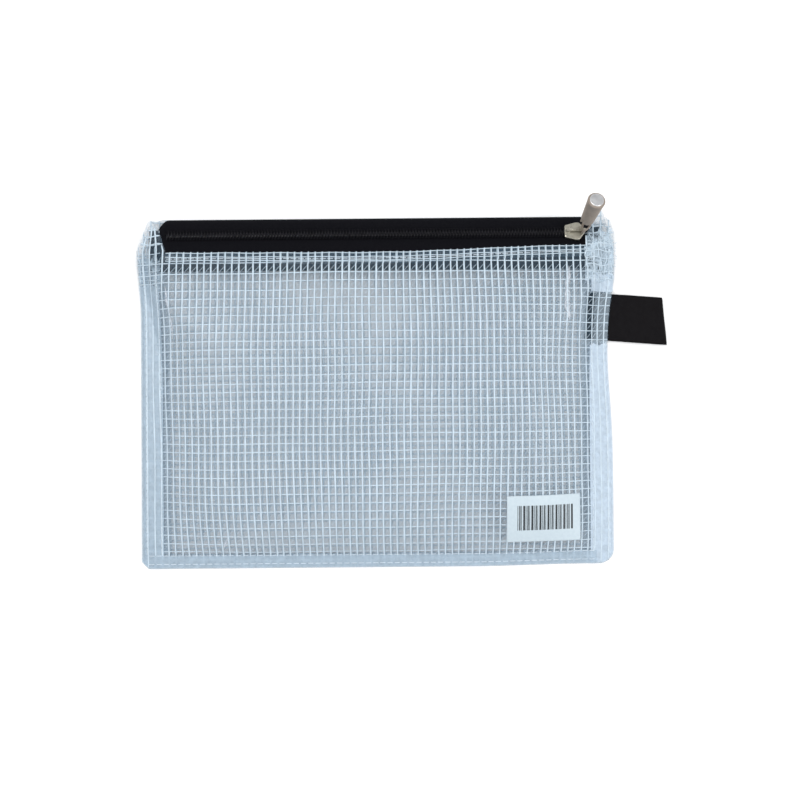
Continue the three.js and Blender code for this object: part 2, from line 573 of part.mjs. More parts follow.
function stickerGeometry() {
  const turn = rad(STICKER_TURN);
  const steps = [-0.5, -0.25, 0, 0.25, 0.5];
  const face = (side) => gridOf(steps, steps, (u, v) => {
    const [a, b] = [u * STICKER_WIDTH, v * STICKER_HEIGHT];
    const x = STICKER_X + a * Math.cos(turn) - b * Math.sin(turn);
    const y = STICKER_Y + a * Math.sin(turn) + b * Math.cos(turn);
    const middle = frontZ(x, y) + SHEET / 2 + STICKER_GAP + STICKER / 2;
    return new THREE.Vector3(x, y, middle + side * STICKER / 2);
  });
  return sheetGeometry(face(1), face(-1));
}

// Materials
const film = { color: 0xc3d6e2, roughness: 0.28, metalness: 0, transparent: true, opacity: 0.5 };
const cloth = { color: 0x19191d, roughness: 0.85, metalness: 0 };
const nylon = { color: 0x1d1d22, roughness: 0.4, metalness: 0 };
const metal = { color: 0xa6a39a, roughness: 0.3, metalness: 0.9 };
function mesh(name, geometry, look) {
  const made = new THREE.Mesh(geometry, new THREE.MeshStandardMaterial(look));
  made.name = name;
  return made;
}

const pouch = new THREE.Group();
pouch.add(
  mesh('back_panel', backPanel(), film),
  mesh('front_panel', frontPanel(), film),
  mesh('front_tape', frontTape(), cloth),
  mesh('back_tape', backTape(), cloth),
  mesh('barcode_sticker', stickerGeometry(), { color: 0xe4ecf1, roughness: 0.6, metalness: 0 }),
);

const label = mesh('label_loop', labelGeometry(), cloth);
label.position.set(rightEdge(LABEL_Y), LABEL_Y, 0);
label.rotation.z = rad(LABEL_TURN);
pouch.add(label);

const zipper = new THREE.Group();
zipper.position.set(0, CHAIN_Y, CHAIN_Z);
zipper.rotation.x = -TILT;
zipper.add(
  mesh('front_coil', coil(-1), nylon),
  mesh('back_coil', coil(1), nylon),
  mesh('front_coil_cord', coilCord(-1), cloth),
  mesh('back_coil_cord', coilCord(1), cloth),
);
const slider = new THREE.Group();
slider.position.x = SLIDER_X;
slider.add(mesh('slider_body', sliderBody(), metal));
const pull = mesh('slider_pull', sliderPull(), metal);
pull.position.set(PIN_X, 0, SLIDER_TOP + BRIDGE_GAP - EYE_CLEARANCE - PIN_DIAMETER / 2);
pull.rotation.set(-rad(PULL_TIP), rad(PULL_LEAN), 0);
slider.add(pull);
zipper.add(slider);
pouch.add(zipper);

export default pouch;
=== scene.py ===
# Zipper pouch of clear film reinforced with a woven grid, lying flat, seen from straight above.
# Lengths below are millimetres in the CAD frame; meshes are written in metres.
import math

import bpy
import numpy as np
from mathutils import Matrix, Vector


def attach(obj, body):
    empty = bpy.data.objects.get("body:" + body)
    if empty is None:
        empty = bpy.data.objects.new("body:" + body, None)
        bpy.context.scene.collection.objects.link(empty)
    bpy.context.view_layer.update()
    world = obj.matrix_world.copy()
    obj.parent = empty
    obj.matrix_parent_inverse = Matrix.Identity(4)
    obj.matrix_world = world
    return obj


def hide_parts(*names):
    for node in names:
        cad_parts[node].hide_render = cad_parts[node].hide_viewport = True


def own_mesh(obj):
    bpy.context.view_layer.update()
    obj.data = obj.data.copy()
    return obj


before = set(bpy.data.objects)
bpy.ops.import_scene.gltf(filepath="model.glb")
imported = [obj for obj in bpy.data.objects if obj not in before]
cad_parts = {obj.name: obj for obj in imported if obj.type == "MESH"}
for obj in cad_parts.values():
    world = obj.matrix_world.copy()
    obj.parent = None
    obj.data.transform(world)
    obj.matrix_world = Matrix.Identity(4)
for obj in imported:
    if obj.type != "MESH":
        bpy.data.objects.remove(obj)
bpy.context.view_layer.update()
RNG = np.random.default_rng(7)
MM = 0.001

# Outline and heights. Most follow the part's source; the right edge and right ear are fuller here
HALF_WIDTH, BOTTOM_Y, CHAIN_Y, HEM_Y = 95.0, -70.0, 63.3, 56.3
MOUTH_LEFT_X, MOUTH_RIGHT_X = -83.4, 84.0
SIDE_SEAM, BOTTOM_SEAM, HEM_BAND = 9.5, 5.5, 4.8
SHEET, TAPE, GAP, RIBBON = 0.45, 0.6, 0.25, 0.35
SHEET_ON_TAPE, TAPE_ON_TAPE = 0.775, 0.85
TAPE_REACH, TAPE_SLOT, TAPE_STRAIGHT, TAPE_BACK_STRAIGHT, TAPE_END_X = 14.4, 1.0, 4.0, 5.05, 90.0
BELLY_Z, BELLY_Y = 12.0, 15.0
EAR_X, EAR_BLEND, YARN_END_X = 84.0, 4.0, 94.7
TILT = math.radians(10)
LOWER_LEG_Z, FOLD_RADIUS, BACK_TURN_RADIUS = 1.0, 1.95, 2.725
CHAIN_Z = LOWER_LEG_Z + FOLD_RADIUS * (1 + math.cos(TILT)) + TAPE_BACK_STRAIGHT * math.sin(TILT)
FOLD_Y = CHAIN_Y + TAPE_BACK_STRAIGHT * math.cos(TILT) - FOLD_RADIUS * math.sin(TILT)
COIL_END_X, TOOTH_PITCH = 83.2, 1.2
SLIDER_X = 79.5
LABEL_Y, LABEL_WIDTH = 29.8, 18.8


def ramp(t):
    return np.clip(t, 0.0, 1.0)


def smooth(t):
    t = ramp(t)
    return t * t * (3 - 2 * t)


def mix(a, b, t):
    return a + (b - a) * t


def rise(x, y):
    high = smooth((y - 5.9) / 40)
    start, end = mix(56.0, 84.0, high), mix(85.5, 92.0, high)
    side = ramp((end - np.abs(x)) / (end - start))
    bottom = ramp((y - BOTTOM_Y - BOTTOM_SEAM) / 26)
    return mix(1 - (1 - side) ** 2, smooth(side), high) * (1 - (1 - bottom) ** 2)


def lift(x, y):
    return 3.2 * smooth((np.abs(x) - EAR_X) / 8) * smooth((y - 38) / 24)


def tape_z(y):
    bend = CHAIN_Y - TAPE_STRAIGHT * math.cos(TILT)
    span = bend - BELLY_Y
    t = ramp((bend - y) / span)
    curve = ((2 * t**3 - 3 * t**2 + 1) * (CHAIN_Z + TAPE_STRAIGHT * math.sin(TILT))
             + (t**3 - 2 * t**2 + t) * math.tan(TILT) * span + (3 * t**2 - 2 * t**3) * BELLY_Z)
    return np.where(y > bend, CHAIN_Z - (y - CHAIN_Y) * math.tan(TILT), curve)


def flare(y):
    return smooth((y - 30) / 25)


def left_edge(y):
    return -HALF_WIDTH + 0.6 * ramp((y - BOTTOM_Y) / (CHAIN_Y - BOTTOM_Y)) - 1.3 * flare(y)


def right_edge(y):
    bulge = 0.9 * np.exp(-(((y - 46) / 11) ** 2))
    return HALF_WIDTH - 1.9 * np.exp(-(((y - 16) / 24) ** 2)) + 0.6 * flare(y) + bulge


def bottom_y(x):
    left = np.maximum(0, 2.8 - HALF_WIDTH - x)
    reach = np.clip(x - 89.0, 0, 5.97)
    return BOTTOM_Y + left + 6 - np.sqrt(36 - reach**2) + 0.8 * smooth((x / HALF_WIDTH - 0.4) * 2)


def hem_y(x):
    return HEM_Y + 0.3 * smooth(x / MOUTH_LEFT_X) + 2.15 * smooth(x / MOUTH_RIGHT_X)


def top_y(x):
    left = np.interp(x, [-95, -91, -88.3, -86.2, -83.4], [57.8, 65.5, 69.5, 66.0, 57.5])
    right = np.interp(x, [84, 84.8, 88, 91.8, 93.4, 95], [58.3, 64.6, 67.5, 69.0, 68.2, 63.8])
    return np.where(x < MOUTH_LEFT_X, left, np.where(x > MOUTH_RIGHT_X, right, hem_y(x)))


def to_edge(x, y):
    near = ramp((np.abs(x) - (HALF_WIDTH - SIDE_SEAM)) / SIDE_SEAM)
    return x + np.where(x < 0, left_edge(y) + HALF_WIDTH, right_edge(y) - HALF_WIDTH) * near


def wrinkle(x, y):
    inner = rise(x, y) * (1 - smooth((y - 34) / 10))
    fine = 0.16 * np.sin(0.19 * x + 0.07 * y + 1.1) * np.sin(0.11 * y - 0.05 * x)
    slow = 0.35 * np.sin(0.052 * x - 0.03 * y + 0.6) + 0.22 * np.sin(0.09 * y + 0.035 * x + 2.0)
    dent = -0.9 * np.exp(-(((x - 70 + 0.1 * y) / 9) ** 2 + ((y + 4) / 34) ** 2))
    return inner * (fine + slow + dent)


def front_mid(x, y):
    edge = np.minimum(HALF_WIDTH - np.abs(x), y - bottom_y(x))
    seam = mix(2.15, 2.4, smooth((y - 30) / 20))
    low = mix(1.3, seam, smooth((y - BOTTOM_Y) / 12))
    in_label = np.where(x > 0, smooth((12.4 - np.abs(y - LABEL_Y)) / 2), 0)
    closed = mix(low, 0.75, (1 - smooth(edge / 1.6)) * (1 - in_label))
    full = tape_z(y) + SHEET_ON_TAPE - SHEET / 2
    return SHEET / 2 + lift(x, y) + mix(closed, full, rise(x, y)) + wrinkle(x, y)


def front_at(x, y):
    x, y = np.broadcast_arrays(np.asarray(x, float), np.asarray(y, float))
    return np.stack([to_edge(x, y), y, front_mid(x, y)], -1)


def back_at(x, q):
    """The back panel, q being the length along it from y = 0 over its turned upper edge."""
    x, q = np.broadcast_arrays(np.asarray(x, float), np.asarray(q, float))
    ear = smooth((np.abs(x) - EAR_X) / EAR_BLEND)
    angle = np.maximum(0, (q - FOLD_Y) / BACK_TURN_RADIUS) * (1 - ear)
    y = np.minimum(q, FOLD_Y) * (1 - ear) + q * ear + BACK_TURN_RADIUS * np.sin(angle)
    z = SHEET / 2 + BACK_TURN_RADIUS * (1 - np.cos(angle)) + lift(x, y)
    z = z - 0.1 * rise(x, y) + 0.05 * np.sin(0.21 * x + 0.4) * np.sin(0.17 * y) * rise(x, y)
    return np.stack([to_edge(x, y), y, z], -1)


def back_end(x):
    last = FOLD_Y + BACK_TURN_RADIUS * math.radians(65)
    reach = np.where(x < 0, CHAIN_Y + 6.7, CHAIN_Y + 9.9)
    corner = np.where(x < 0, 57.8, 60.5)
    ear = mix(reach, corner, smooth((np.abs(x) - TAPE_END_X) / 5))
    return mix(last, ear, smooth((np.abs(x) - EAR_X) / EAR_BLEND))


def tape_at(x, s, side=0.0):
    """A zipper tape at distance s across it; side is a share of half its thickness, along its normal."""
    x, s = np.broadcast_arrays(np.asarray(x, float), np.asarray(s, float))
    fold = FOLD_RADIUS * (math.pi - TILT)
    y_front = CHAIN_Y + s * math.cos(TILT) - np.maximum(0, -TAPE_STRAIGHT - s) * (1 - math.cos(TILT)) * 0.9
    turned = np.clip(s - TAPE_BACK_STRAIGHT, 0, fold)
    rest = np.maximum(0, s - TAPE_BACK_STRAIGHT - fold)
    angle_fold = -TILT - turned / FOLD_RADIUS
    straight = (s >= 0) & (s <= TAPE_BACK_STRAIGHT)
    y = np.where(s < 0, y_front, np.where(straight, CHAIN_Y + s * math.cos(TILT),
                                          FOLD_Y - FOLD_RADIUS * np.sin(angle_fold) - rest))
    z = np.where(s < 0, tape_z(y_front), np.where(straight, CHAIN_Z - s * math.sin(TILT),
                                                  LOWER_LEG_Z + FOLD_RADIUS * (1 + np.cos(angle_fold))))
    slope = np.arctan((tape_z(y_front + 0.05) - tape_z(y_front - 0.05)) / 0.1)
    angle = np.where(s < 0, slope, np.where(straight, -TILT, angle_fold))
    least = TAPE_ON_TAPE + SHEET_ON_TAPE - TAPE_ON_TAPE * np.where(s > TAPE_BACK_STRAIGHT, turned / fold, 0)
    y = y - side * (TAPE / 2) * np.sin(angle)
    y = np.where(y > CHAIN_Y, CHAIN_Y + (y - CHAIN_Y) * (1 - 0.62 * ramp((np.abs(x) - 82.4) / 4.4) ** 2), y)
    z = SHEET / 2 + lift(x, y) + mix(least, z - SHEET / 2, rise(x, y))
    return np.stack([x, y, z + side * (TAPE / 2) * np.cos(angle)], -1)


def parting(x):
    return 1.1 * ramp((x - SLIDER_X + 3.3) / 3.4)


ZIP = Matrix.Translation((0, CHAIN_Y, CHAIN_Z)) @ Matrix.Rotation(-TILT, 4, "X")
SLIDER = ZIP @ Matrix.Translation((SLIDER_X, 0, 0))
PULL = (SLIDER @ Matrix.Translation((2.7, 0, 3.75)) @ Matrix.Rotation(math.radians(-11.8), 4, "X")
        @ Matrix.Rotation(math.radians(6.5), 4, "Y"))


def placed(points, matrix):
    m = np.array(matrix)
    return points @ m[:3, :3].T + m[:3, 3]


# Meshes
def add_piece(name, verts, faces, material, body="pouch", slot=None, flat=False, matrix=None):
    points = np.asarray(verts, float).reshape(-1, 3)
    if matrix is not None:
        points = placed(points, matrix)
    mesh = bpy.data.meshes.new(name)
    mesh.from_pydata((points * MM).tolist(), [], [tuple(map(int, f)) for f in faces])
    mesh.validate()
    mesh.polygons.foreach_set("use_smooth", [not flat] * len(mesh.polygons))
    mesh.materials.append(material)
    mesh.update()
    piece = bpy.data.objects.new(name, mesh)
    bpy.context.scene.collection.objects.link(piece)
    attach(piece, body)
    return piece


def grid_faces(columns, rows, start=0, flip=False):
    i, j = np.meshgrid(np.arange(columns - 1), np.arange(rows - 1), indexing="ij")
    a = start + (i * rows + j).ravel()
    quads = np.stack([a, a + rows, a + rows + 1, a + 1], -1)
    return quads[:, ::-1] if flip else quads


def sheet_mesh(points):
    """A single surface from a grid of points."""
    return points.reshape(-1, 3), grid_faces(points.shape[0], points.shape[1])


def shell_mesh(upper, lower):
    """A closed sheet from the grids of its two faces."""
    c, r = upper.shape[:2]
    n = c * r
    faces = [grid_faces(c, r), grid_faces(c, r, n, True)]
    around = ([i * r for i in range(c)] + [(c - 1) * r + j for j in range(1, r)]
              + [i * r + r - 1 for i in range(c - 2, -1, -1)] + [j for j in range(r - 2, 0, -1)])
    rim = [(around[k], around[k] + n, around[(k + 1) % len(around)] + n, around[(k + 1) % len(around)])
           for k in range(len(around))]
    faces.append(np.array(rim))
    return np.concatenate([upper.reshape(-1, 3), lower.reshape(-1, 3)]), np.concatenate(faces)


def circle(count):
    angles = np.linspace(0, 2 * math.pi, count, endpoint=False)
    return 0.5 * np.array([(math.cos(a), math.sin(a)) for a in angles])


# Sections of the tubes, one unit wide: a flattened yarn, round threads and round metal wire
YARN = np.array([(-0.5, 0.0), (-0.34, 0.42), (0.0, 0.5), (0.34, 0.42),
                 (0.5, 0.0), (0.34, -0.42), (0.0, -0.5), (-0.34, -0.42)])
ROUND, WIRE = circle(8), circle(16)


def tubes(lines, section, width, height):
    """Tubes along lines of (points, normals). Width is a length, or a list of one array per line."""
    verts, faces, start = [], [], 0
    k = len(section)
    for number, (p, n) in enumerate(lines):
        t = np.gradient(p, axis=0)
        t /= np.linalg.norm(t, axis=1, keepdims=True) + 1e-12
        side = np.cross(t, n)
        side /= np.linalg.norm(side, axis=1, keepdims=True) + 1e-12
        up = np.cross(side, t)
        w = width[number] if isinstance(width, list) else np.full(len(p), width)
        ring = (p[:, None] + side[:, None] * (section[:, 0] * w[:, None])[..., None]
                + up[:, None] * (section[:, 1] * height)[:, None])
        verts.append(ring.reshape(-1, 3))
        i, j = np.meshgrid(np.arange(len(p) - 1), np.arange(k), indexing="ij")
        a, b = start + i * k + j, start + i * k + (j + 1) % k
        faces.extend(np.stack([a, a + k, b + k, b], -1).reshape(-1, 4).tolist())
        last = start + (len(p) - 1) * k
        faces.append(list(range(start, start + k)))
        faces.append(list(range(last + k - 1, last - 1, -1)))
        start += len(p) * k
    return np.concatenate(verts), faces


def normals_of(surface, x, y):
    e = 0.08
    n = np.cross(surface(x + e, y) - surface(x - e, y), surface(x, y + e) - surface(x, y - e))
    return n / np.linalg.norm(n, axis=-1, keepdims=True)


def on_surface(surface, x, y, off):
    n = normals_of(surface, x, y)
    return surface(x, y) + n * np.asarray(off)[..., None], n


# Materials
def material(name, colour, roughness=0.5, metallic=0.0, alpha=1.0, specular=0.5, **sockets):
    m = bpy.data.materials.new(name)
    m.use_nodes = True
    shader = m.node_tree.nodes["Principled BSDF"]
    shader.inputs["Base Color"].default_value = (*colour, 1)
    shader.inputs["Roughness"].default_value = roughness
    shader.inputs["Metallic"].default_value = metallic
    shader.inputs["Alpha"].default_value = alpha
    shader.inputs["Specular IOR Level"].default_value = specular
    for socket, value in sockets.items():
        shader.inputs[socket.replace("_", " ")].default_value = value
    return m


class Nodes:
    """Adds nodes to a material's tree."""

    def __init__(self, m):
        self.tree = m.node_tree
        self.shader = self.tree.nodes["Principled BSDF"]
        self.where = self.tree.nodes.new("ShaderNodeTexCoord").outputs["Object"]

    def node(self, kind, links=None, **settings):
        n = self.tree.nodes.new(kind)
        for key, value in settings.items():
            if hasattr(n, key) and key not in n.inputs:
                setattr(n, key, value)
            else:
                n.inputs[key.replace("_", " ")].default_value = value
        for key, source in (links or {}).items():
            self.tree.links.new(source, n.inputs[key])
        return n

    def scaled(self, x, y, z):
        return self.node("ShaderNodeMapping", {"Vector": self.where}, Scale=(x, y, z)).outputs[0]

    def noise(self, scale, detail=3.0, roughness=0.55, vector=None):
        return self.node("ShaderNodeTexNoise", {"Vector": vector or self.where}, Scale=scale, Detail=detail,
                         Roughness=roughness).outputs["Fac"]

    def wave(self, vector, direction="X", distortion=0.0, profile="SIN", scale=1.0):
        return self.node("ShaderNodeTexWave", {"Vector": vector}, bands_direction=direction,
                         wave_profile=profile, Scale=scale, Distortion=distortion).outputs["Fac"]

    def maths(self, operation, a, b):
        n = self.node("ShaderNodeMath", operation=operation)
        for socket, value in zip(n.inputs, (a, b)):
            if isinstance(value, (int, float)):
                socket.default_value = value
            else:
                self.tree.links.new(value, socket)
        return n.outputs[0]

    def spread(self, value, low, high, a=0.0, b=1.0):
        return self.node("ShaderNodeMapRange", {"Value": value}, From_Min=low, From_Max=high, To_Min=a,
                         To_Max=b).outputs[0]

    def colours(self, value, *stops):
        n = self.node("ShaderNodeValToRGB", {"Fac": value})
        bands = n.color_ramp
        while len(bands.elements) < len(stops):
            bands.elements.new(0.5)
        for element, (at, colour) in zip(bands.elements, stops):
            element.position, element.color = at, (*colour, 1)
        return n.outputs[0]

    def to(self, socket, source):
        self.tree.links.new(source, self.shader.inputs[socket])

    def bump(self, height, strength, distance):
        n = self.node("ShaderNodeBump", {"Height": height}, Strength=strength, Distance=distance)
        self.to("Normal", n.outputs[0])


def film(name, colour, alpha, rough=0.22, grain=0.5, patchy=False):
    m = material(name, colour, rough, alpha=alpha, specular=0.8)
    n = Nodes(m)
    mottle = n.noise(420.0, 5.0)
    dark = tuple(c * 0.82 for c in colour)
    n.to("Base Color", n.colours(mottle, (0.35, dark), (0.65, colour)))
    if patchy:
        n.to("Alpha", n.spread(n.noise(330.0, 3.0), 0.38, 0.62, alpha * 0.35, min(1.0, alpha * 1.7)))
    n.to("Roughness", n.spread(n.noise(900.0, 2.0), 0.3, 0.7, rough * 0.7, rough * 1.6))
    height = n.maths("ADD", n.noise(700.0, 4.0), n.maths("MULTIPLY", n.noise(160.0, 3.0), 1.5))
    n.bump(height, grain, 0.0004)
    return m


def yarn(name, colour, rough=0.42, alpha=1.0):
    m = material(name, colour, rough, specular=0.5, alpha=alpha)
    n = Nodes(m)
    tone = n.noise(260.0, 4.0)
    n.to("Base Color", n.colours(tone, (0.3, tuple(c * 0.84 for c in colour)), (0.7, colour)))
    n.to("Roughness", n.spread(n.noise(1500.0, 2.0), 0.3, 0.7, rough * 0.7, rough * 1.4))
    n.bump(n.noise(5200.0, 2.0), 0.25, 0.00008)
    return m


FILM = film("clear_film", (0.135, 0.23, 0.32), 0.195)
FILM_BACK = film("clear_film_back", (0.25, 0.36, 0.47), 0.27)
FILM_SEAM = film("sewn_film", (0.64, 0.765, 0.88), 0.66, rough=0.3)
FILM_COVER = film("sewn_film_outer", (0.52, 0.655, 0.78), 0.52, rough=0.3)
# A lighter, denser copy of the outer seam film for the right side: painted light, making up for the lamps'
# shade on that side
FILM_COVER_PAINTED_LIGHT = film("sewn_film_outer_painted_light", (0.635, 0.765, 0.90), 0.72, rough=0.3)
FILM_HAZE = film("sewn_film_haze", (0.52, 0.64, 0.74), 0.30, rough=0.3)
# Pale film for crease lines: partly stress-whitening, partly a painted highlight for their glints
FILM_CREASE_GLINT = film("creased_film_painted_glint", (0.76, 0.82, 0.90), 0.30, rough=0.25, patchy=True)
FILM_EAR = film("folded_film", (0.565, 0.705, 0.825), 0.50, rough=0.3, grain=0.9, patchy=True)
YARN_PALE = yarn("grid_yarn", (0.575, 0.685, 0.775))
YARN_BACK = yarn("grid_yarn_back", (0.54, 0.65, 0.74))
YARN_TIE = yarn("scrim_tie_yarn", (0.46, 0.56, 0.65))
SEWING = yarn("sewing_thread", (0.68, 0.77, 0.84), 0.6)


def tape_cloth():
    m = material("zipper_tape", (0.003, 0.003, 0.0045), 0.9, specular=0.08, Sheen_Weight=0.02,
                 Sheen_Roughness=0.5)
    m.node_tree.nodes["Principled BSDF"].inputs["Sheen Tint"].default_value = (0.5, 0.5, 0.6, 1)
    n = Nodes(m)
    warp = n.wave(n.scaled(2400, 1, 1), "X", 0.4)
    twill = n.wave(n.scaled(1400, 1900, 1900), "DIAGONAL", 0.3)
    height = n.maths("ADD", n.maths("MULTIPLY", warp, 0.6), n.maths("MULTIPLY", twill, 0.8))
    n.to("Base Color", n.colours(height, (0.2, (0.0022, 0.0022, 0.0034)), (1.0, (0.0055, 0.0055, 0.008))))
    n.to("Roughness", n.spread(n.noise(900.0), 0.3, 0.7, 0.75, 0.95))
    n.bump(n.maths("ADD", height, n.maths("MULTIPLY", n.noise(1800.0), 0.5)), 0.5, 0.00012)
    return m


def nylon():
    m = material("coil_nylon", (0.008, 0.0075, 0.0095), 0.42, specular=0.2)
    n = Nodes(m)
    tone = n.noise(500.0)
    n.to("Base Color", n.colours(tone, (0.35, (0.004, 0.0038, 0.0055)), (0.65, (0.009, 0.0085, 0.012))))
    n.to("Roughness", n.spread(n.noise(1100.0), 0.3, 0.7, 0.26, 0.45))
    n.bump(n.noise(3000.0), 0.15, 0.00005)
    return m


def metal(name, colour, rough, scratch=1.0):
    m = material(name, colour, rough, 1.0)
    n = Nodes(m)
    stain = n.noise(350.0, 4.0, 0.6)
    fine = n.noise(1.0, 3.0, 0.6, n.scaled(5200, 5200, 900))
    n.to("Base Color", n.colours(stain, (0.3, tuple(c * 0.78 for c in colour)), (0.7, colour)))
    n.to("Roughness", n.spread(n.maths("ADD", stain, n.maths("MULTIPLY", fine, 0.6 * scratch)), 0.4, 1.2,
                               rough * 0.7, rough * 1.5))
    n.bump(n.maths("ADD", n.noise(1400.0), n.maths("MULTIPLY", fine, scratch)), 0.12, 0.00006)
    return m


def satin():
    m = material("ribbon_satin", (0.004, 0.004, 0.0045), 0.7, specular=0.07, Sheen_Weight=0.015)
    n = Nodes(m)
    rib = n.wave(n.scaled(60, 2600, 60), "Y", 0.3)
    cross = n.wave(n.scaled(1300, 60, 60), "X", 0.3)
    height = n.maths("ADD", rib, n.maths("MULTIPLY", cross, 0.5))
    n.to("Base Color", n.colours(height, (0.1, (0.003, 0.0028, 0.0034)), (1.0, (0.007, 0.006, 0.0072))))
    n.to("Roughness", n.spread(n.noise(700.0), 0.3, 0.7, 0.5, 0.75))
    n.bump(height, 0.35, 0.00008)
    return m


def paper():
    m = material("sticker_paper", (0.68, 0.78, 0.85), 0.5)
    n = Nodes(m)
    tone = n.noise(900.0, 5.0)
    n.to("Base Color", n.colours(tone, (0.35, (0.515, 0.605, 0.665)), (0.65, (0.55, 0.64, 0.695))))
    n.to("Roughness", n.spread(n.noise(300.0), 0.3, 0.7, 0.4, 0.6))
    n.bump(n.noise(4000.0, 3.0), 0.12, 0.00005)
    return m


def ink():
    m = material("sticker_ink", (0.02, 0.024, 0.03), 0.5)
    n = Nodes(m)
    tone = n.noise(2500.0, 3.0)
    n.to("Base Color", n.colours(tone, (0.3, (0.008, 0.01, 0.013)), (0.75, (0.026, 0.031, 0.038))))
    n.to("Roughness", n.spread(n.noise(900.0), 0.3, 0.7, 0.4, 0.6))
    return m


TAPE_CLOTH, NYLON, SATIN = tape_cloth(), nylon(), satin()
NICKEL = metal("slider_nickel", (0.50, 0.475, 0.40), 0.28)
BRUSHED = metal("pull_nickel", (0.46, 0.40, 0.35), 0.55, 2.0)
# The pull's end face: the barrel's nickel, given a lighter colour as a painted highlight where it faces up
# to the lamps
PULL_END_PAINTED_HIGHLIGHT = metal("pull_end_nickel_painted_highlight", (0.74, 0.74, 0.75), 0.45, 0.4)

# Film panels
def stations(low, high, step):
    return np.linspace(low, high, max(2, int(round((high - low) / step)) + 1))


CORNER_X = [-91, -88.3, -86.2, 84.8, 88, 91.5]
PANEL_X = np.unique(np.concatenate([
    stations(-95, -83.4, 0.4), stations(-83.4, 84, 1.0), stations(84, 95, 0.4), CORNER_X]))
front_rows = np.concatenate([stations(0, 0.03, 0.004), stations(0.04, 0.93, 0.0085),
                             stations(0.935, 1, 0.0045)])
gx, gt = np.meshgrid(PANEL_X, front_rows, indexing="ij")
gy = mix(bottom_y(gx), top_y(gx), gt)
front_film = add_piece("front_film", *sheet_mesh(front_at(gx, gy)), FILM, slot="front_film")
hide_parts("front_panel")

back_rows = np.concatenate([stations(0, 0.94, 0.01), stations(0.945, 1, 0.005)])
gx, gt = np.meshgrid(PANEL_X, back_rows, indexing="ij")
gq = mix(bottom_y(gx), back_end(gx), gt)
back_film = add_piece("back_film", *sheet_mesh(back_at(gx, gq)), FILM_BACK, slot="back_film")
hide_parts("back_panel")

# Turned hem of the front panel: a second layer of film on top
hx, ht = np.meshgrid(stations(MOUTH_LEFT_X, MOUTH_RIGHT_X, 1.0), np.linspace(0, 1, 9), indexing="ij")
hy = mix(hem_y(hx) - HEM_BAND, hem_y(hx), ht)
hem_height = 0.16 + 0.24 * np.sqrt(ramp(1 - (ht * 2 - 1) ** 6)) * 0.6
hem_points, _ = on_surface(front_at, hx, hy, hem_height)
add_piece("hem_film", *sheet_mesh(hem_points), FILM, slot="front_film")


# Grid yarns
def drift_x(x, y, seed=0.0):
    return (0.32 * np.sin(0.045 * y + 0.031 * x + seed) + 0.16 * np.sin(0.13 * y - 0.05 * x + 2 * seed)
            - 1.1 * np.exp(-(((x - 74) / 9) ** 2 + ((y - 8) / 26) ** 2)))


def drift_y(x, y, seed=0.0):
    return 0.35 * np.sin(0.028 * x + 0.02 * y + seed) + 0.12 * np.sin(0.11 * x + 0.06 * y + 1.7 * seed)


def ear_fan(x, y):
    """Upright yarns of the left ear close up towards its tip."""
    half = np.interp(y, [57.5, 66.0, 69.5], [1.0, 0.42, 0.1])
    fan = mix(1.0, half, smooth((y - 50) / 8))
    return np.where(x < MOUTH_LEFT_X, -88.3 + (x + 88.3) * fan, x)


def yarn_lines(surface, paths, off):
    return [on_surface(surface, x, y, np.full(len(x), off)) for x, y in paths]


def widths(lines, width, share=0.14):
    out = []
    for p, _ in lines:
        knots = np.linspace(0, len(p) - 1, len(p) // 6 + 2)
        wave = np.interp(np.arange(len(p)), knots, RNG.uniform(1 - share, 1 + share, len(knots)))
        out.append(width * wave)
    return out


PITCH_X, PITCH_Y = 2.72, 3.36
upright_x = np.arange(-92.3, 94.2, PITCH_X)


def upright_paths(seed, surface_end, fan):
    paths = []
    for x0 in upright_x:
        low, high = float(bottom_y(x0)) + 0.3, float(surface_end(np.array(x0))) - 0.05
        y = stations(low, high, 1.1)
        calm = 1 - smooth((np.abs(x0) - 88) / 5)
        x = x0 + drift_x(x0, y, seed) * calm + RNG.uniform(-0.12, 0.12)
        x = ear_fan(x, y) if fan else x
        paths.append((np.clip(x, -94.6, 94.6), y))
    return paths


front_upright = upright_paths(0.0, top_y, True)
lines = yarn_lines(front_at, front_upright, 0.10)
add_piece("front_grid_upright", *tubes(lines, YARN, widths(lines, 0.66), 0.26), YARN_PALE, slot="front_film")

level_y = np.concatenate([np.arange(48.0, -69.5, -PITCH_Y)[::-1], [52.3]])
front_level = []
for y0 in level_y:
    x = stations(-YARN_END_X, YARN_END_X, 1.3)
    y = y0 + drift_y(x, y0, 0.5) + RNG.uniform(-0.1, 0.1)
    keep = y > bottom_y(x) + 0.4
    front_level.append((x[keep], y[keep]))
for y0 in (60.2, 63.4, 66.0):
    for low, high in ((-94.8, -84.0), (84.6, 94.8)):
        x = stations(low, high, 0.6)
        keep = y0 < top_y(x) - 0.4
        if keep.sum() > 3:
            front_level.append((x[keep], np.full(keep.sum(), y0) + 0.3 * np.sin(x[keep])))
lines = yarn_lines(front_at, front_level, -0.01)
add_piece("front_grid_level", *tubes(lines, YARN, widths(lines, 0.44), 0.22), YARN_PALE, slot="front_film")

ties = []
for y0 in level_y[:-1]:
    for x0 in upright_x[1:-1]:
        if y0 + PITCH_Y > float(hem_y(x0)) or y0 < float(bottom_y(x0)) + 0.6:
            continue
        x = x0 + np.array([0.1, 0.5, 0.9]) * PITCH_X
        y = y0 + np.array([0.14, 0.5, 0.86]) * PITCH_Y
        ties.append((x + drift_x(x, y, 0.0) * (1 - smooth((np.abs(x0) - 88) / 5)), y + drift_y(x, y, 0.5)))
TIE = 0.5 * np.array([(-1.0, 0.0), (0.0, 1.0), (1.0, 0.0), (0.0, -1.0)])
lines = yarn_lines(front_at, ties, 0.0)
add_piece("front_grid_ties", *tubes(lines, TIE, 0.2, 0.12), YARN_TIE, slot="front_film")

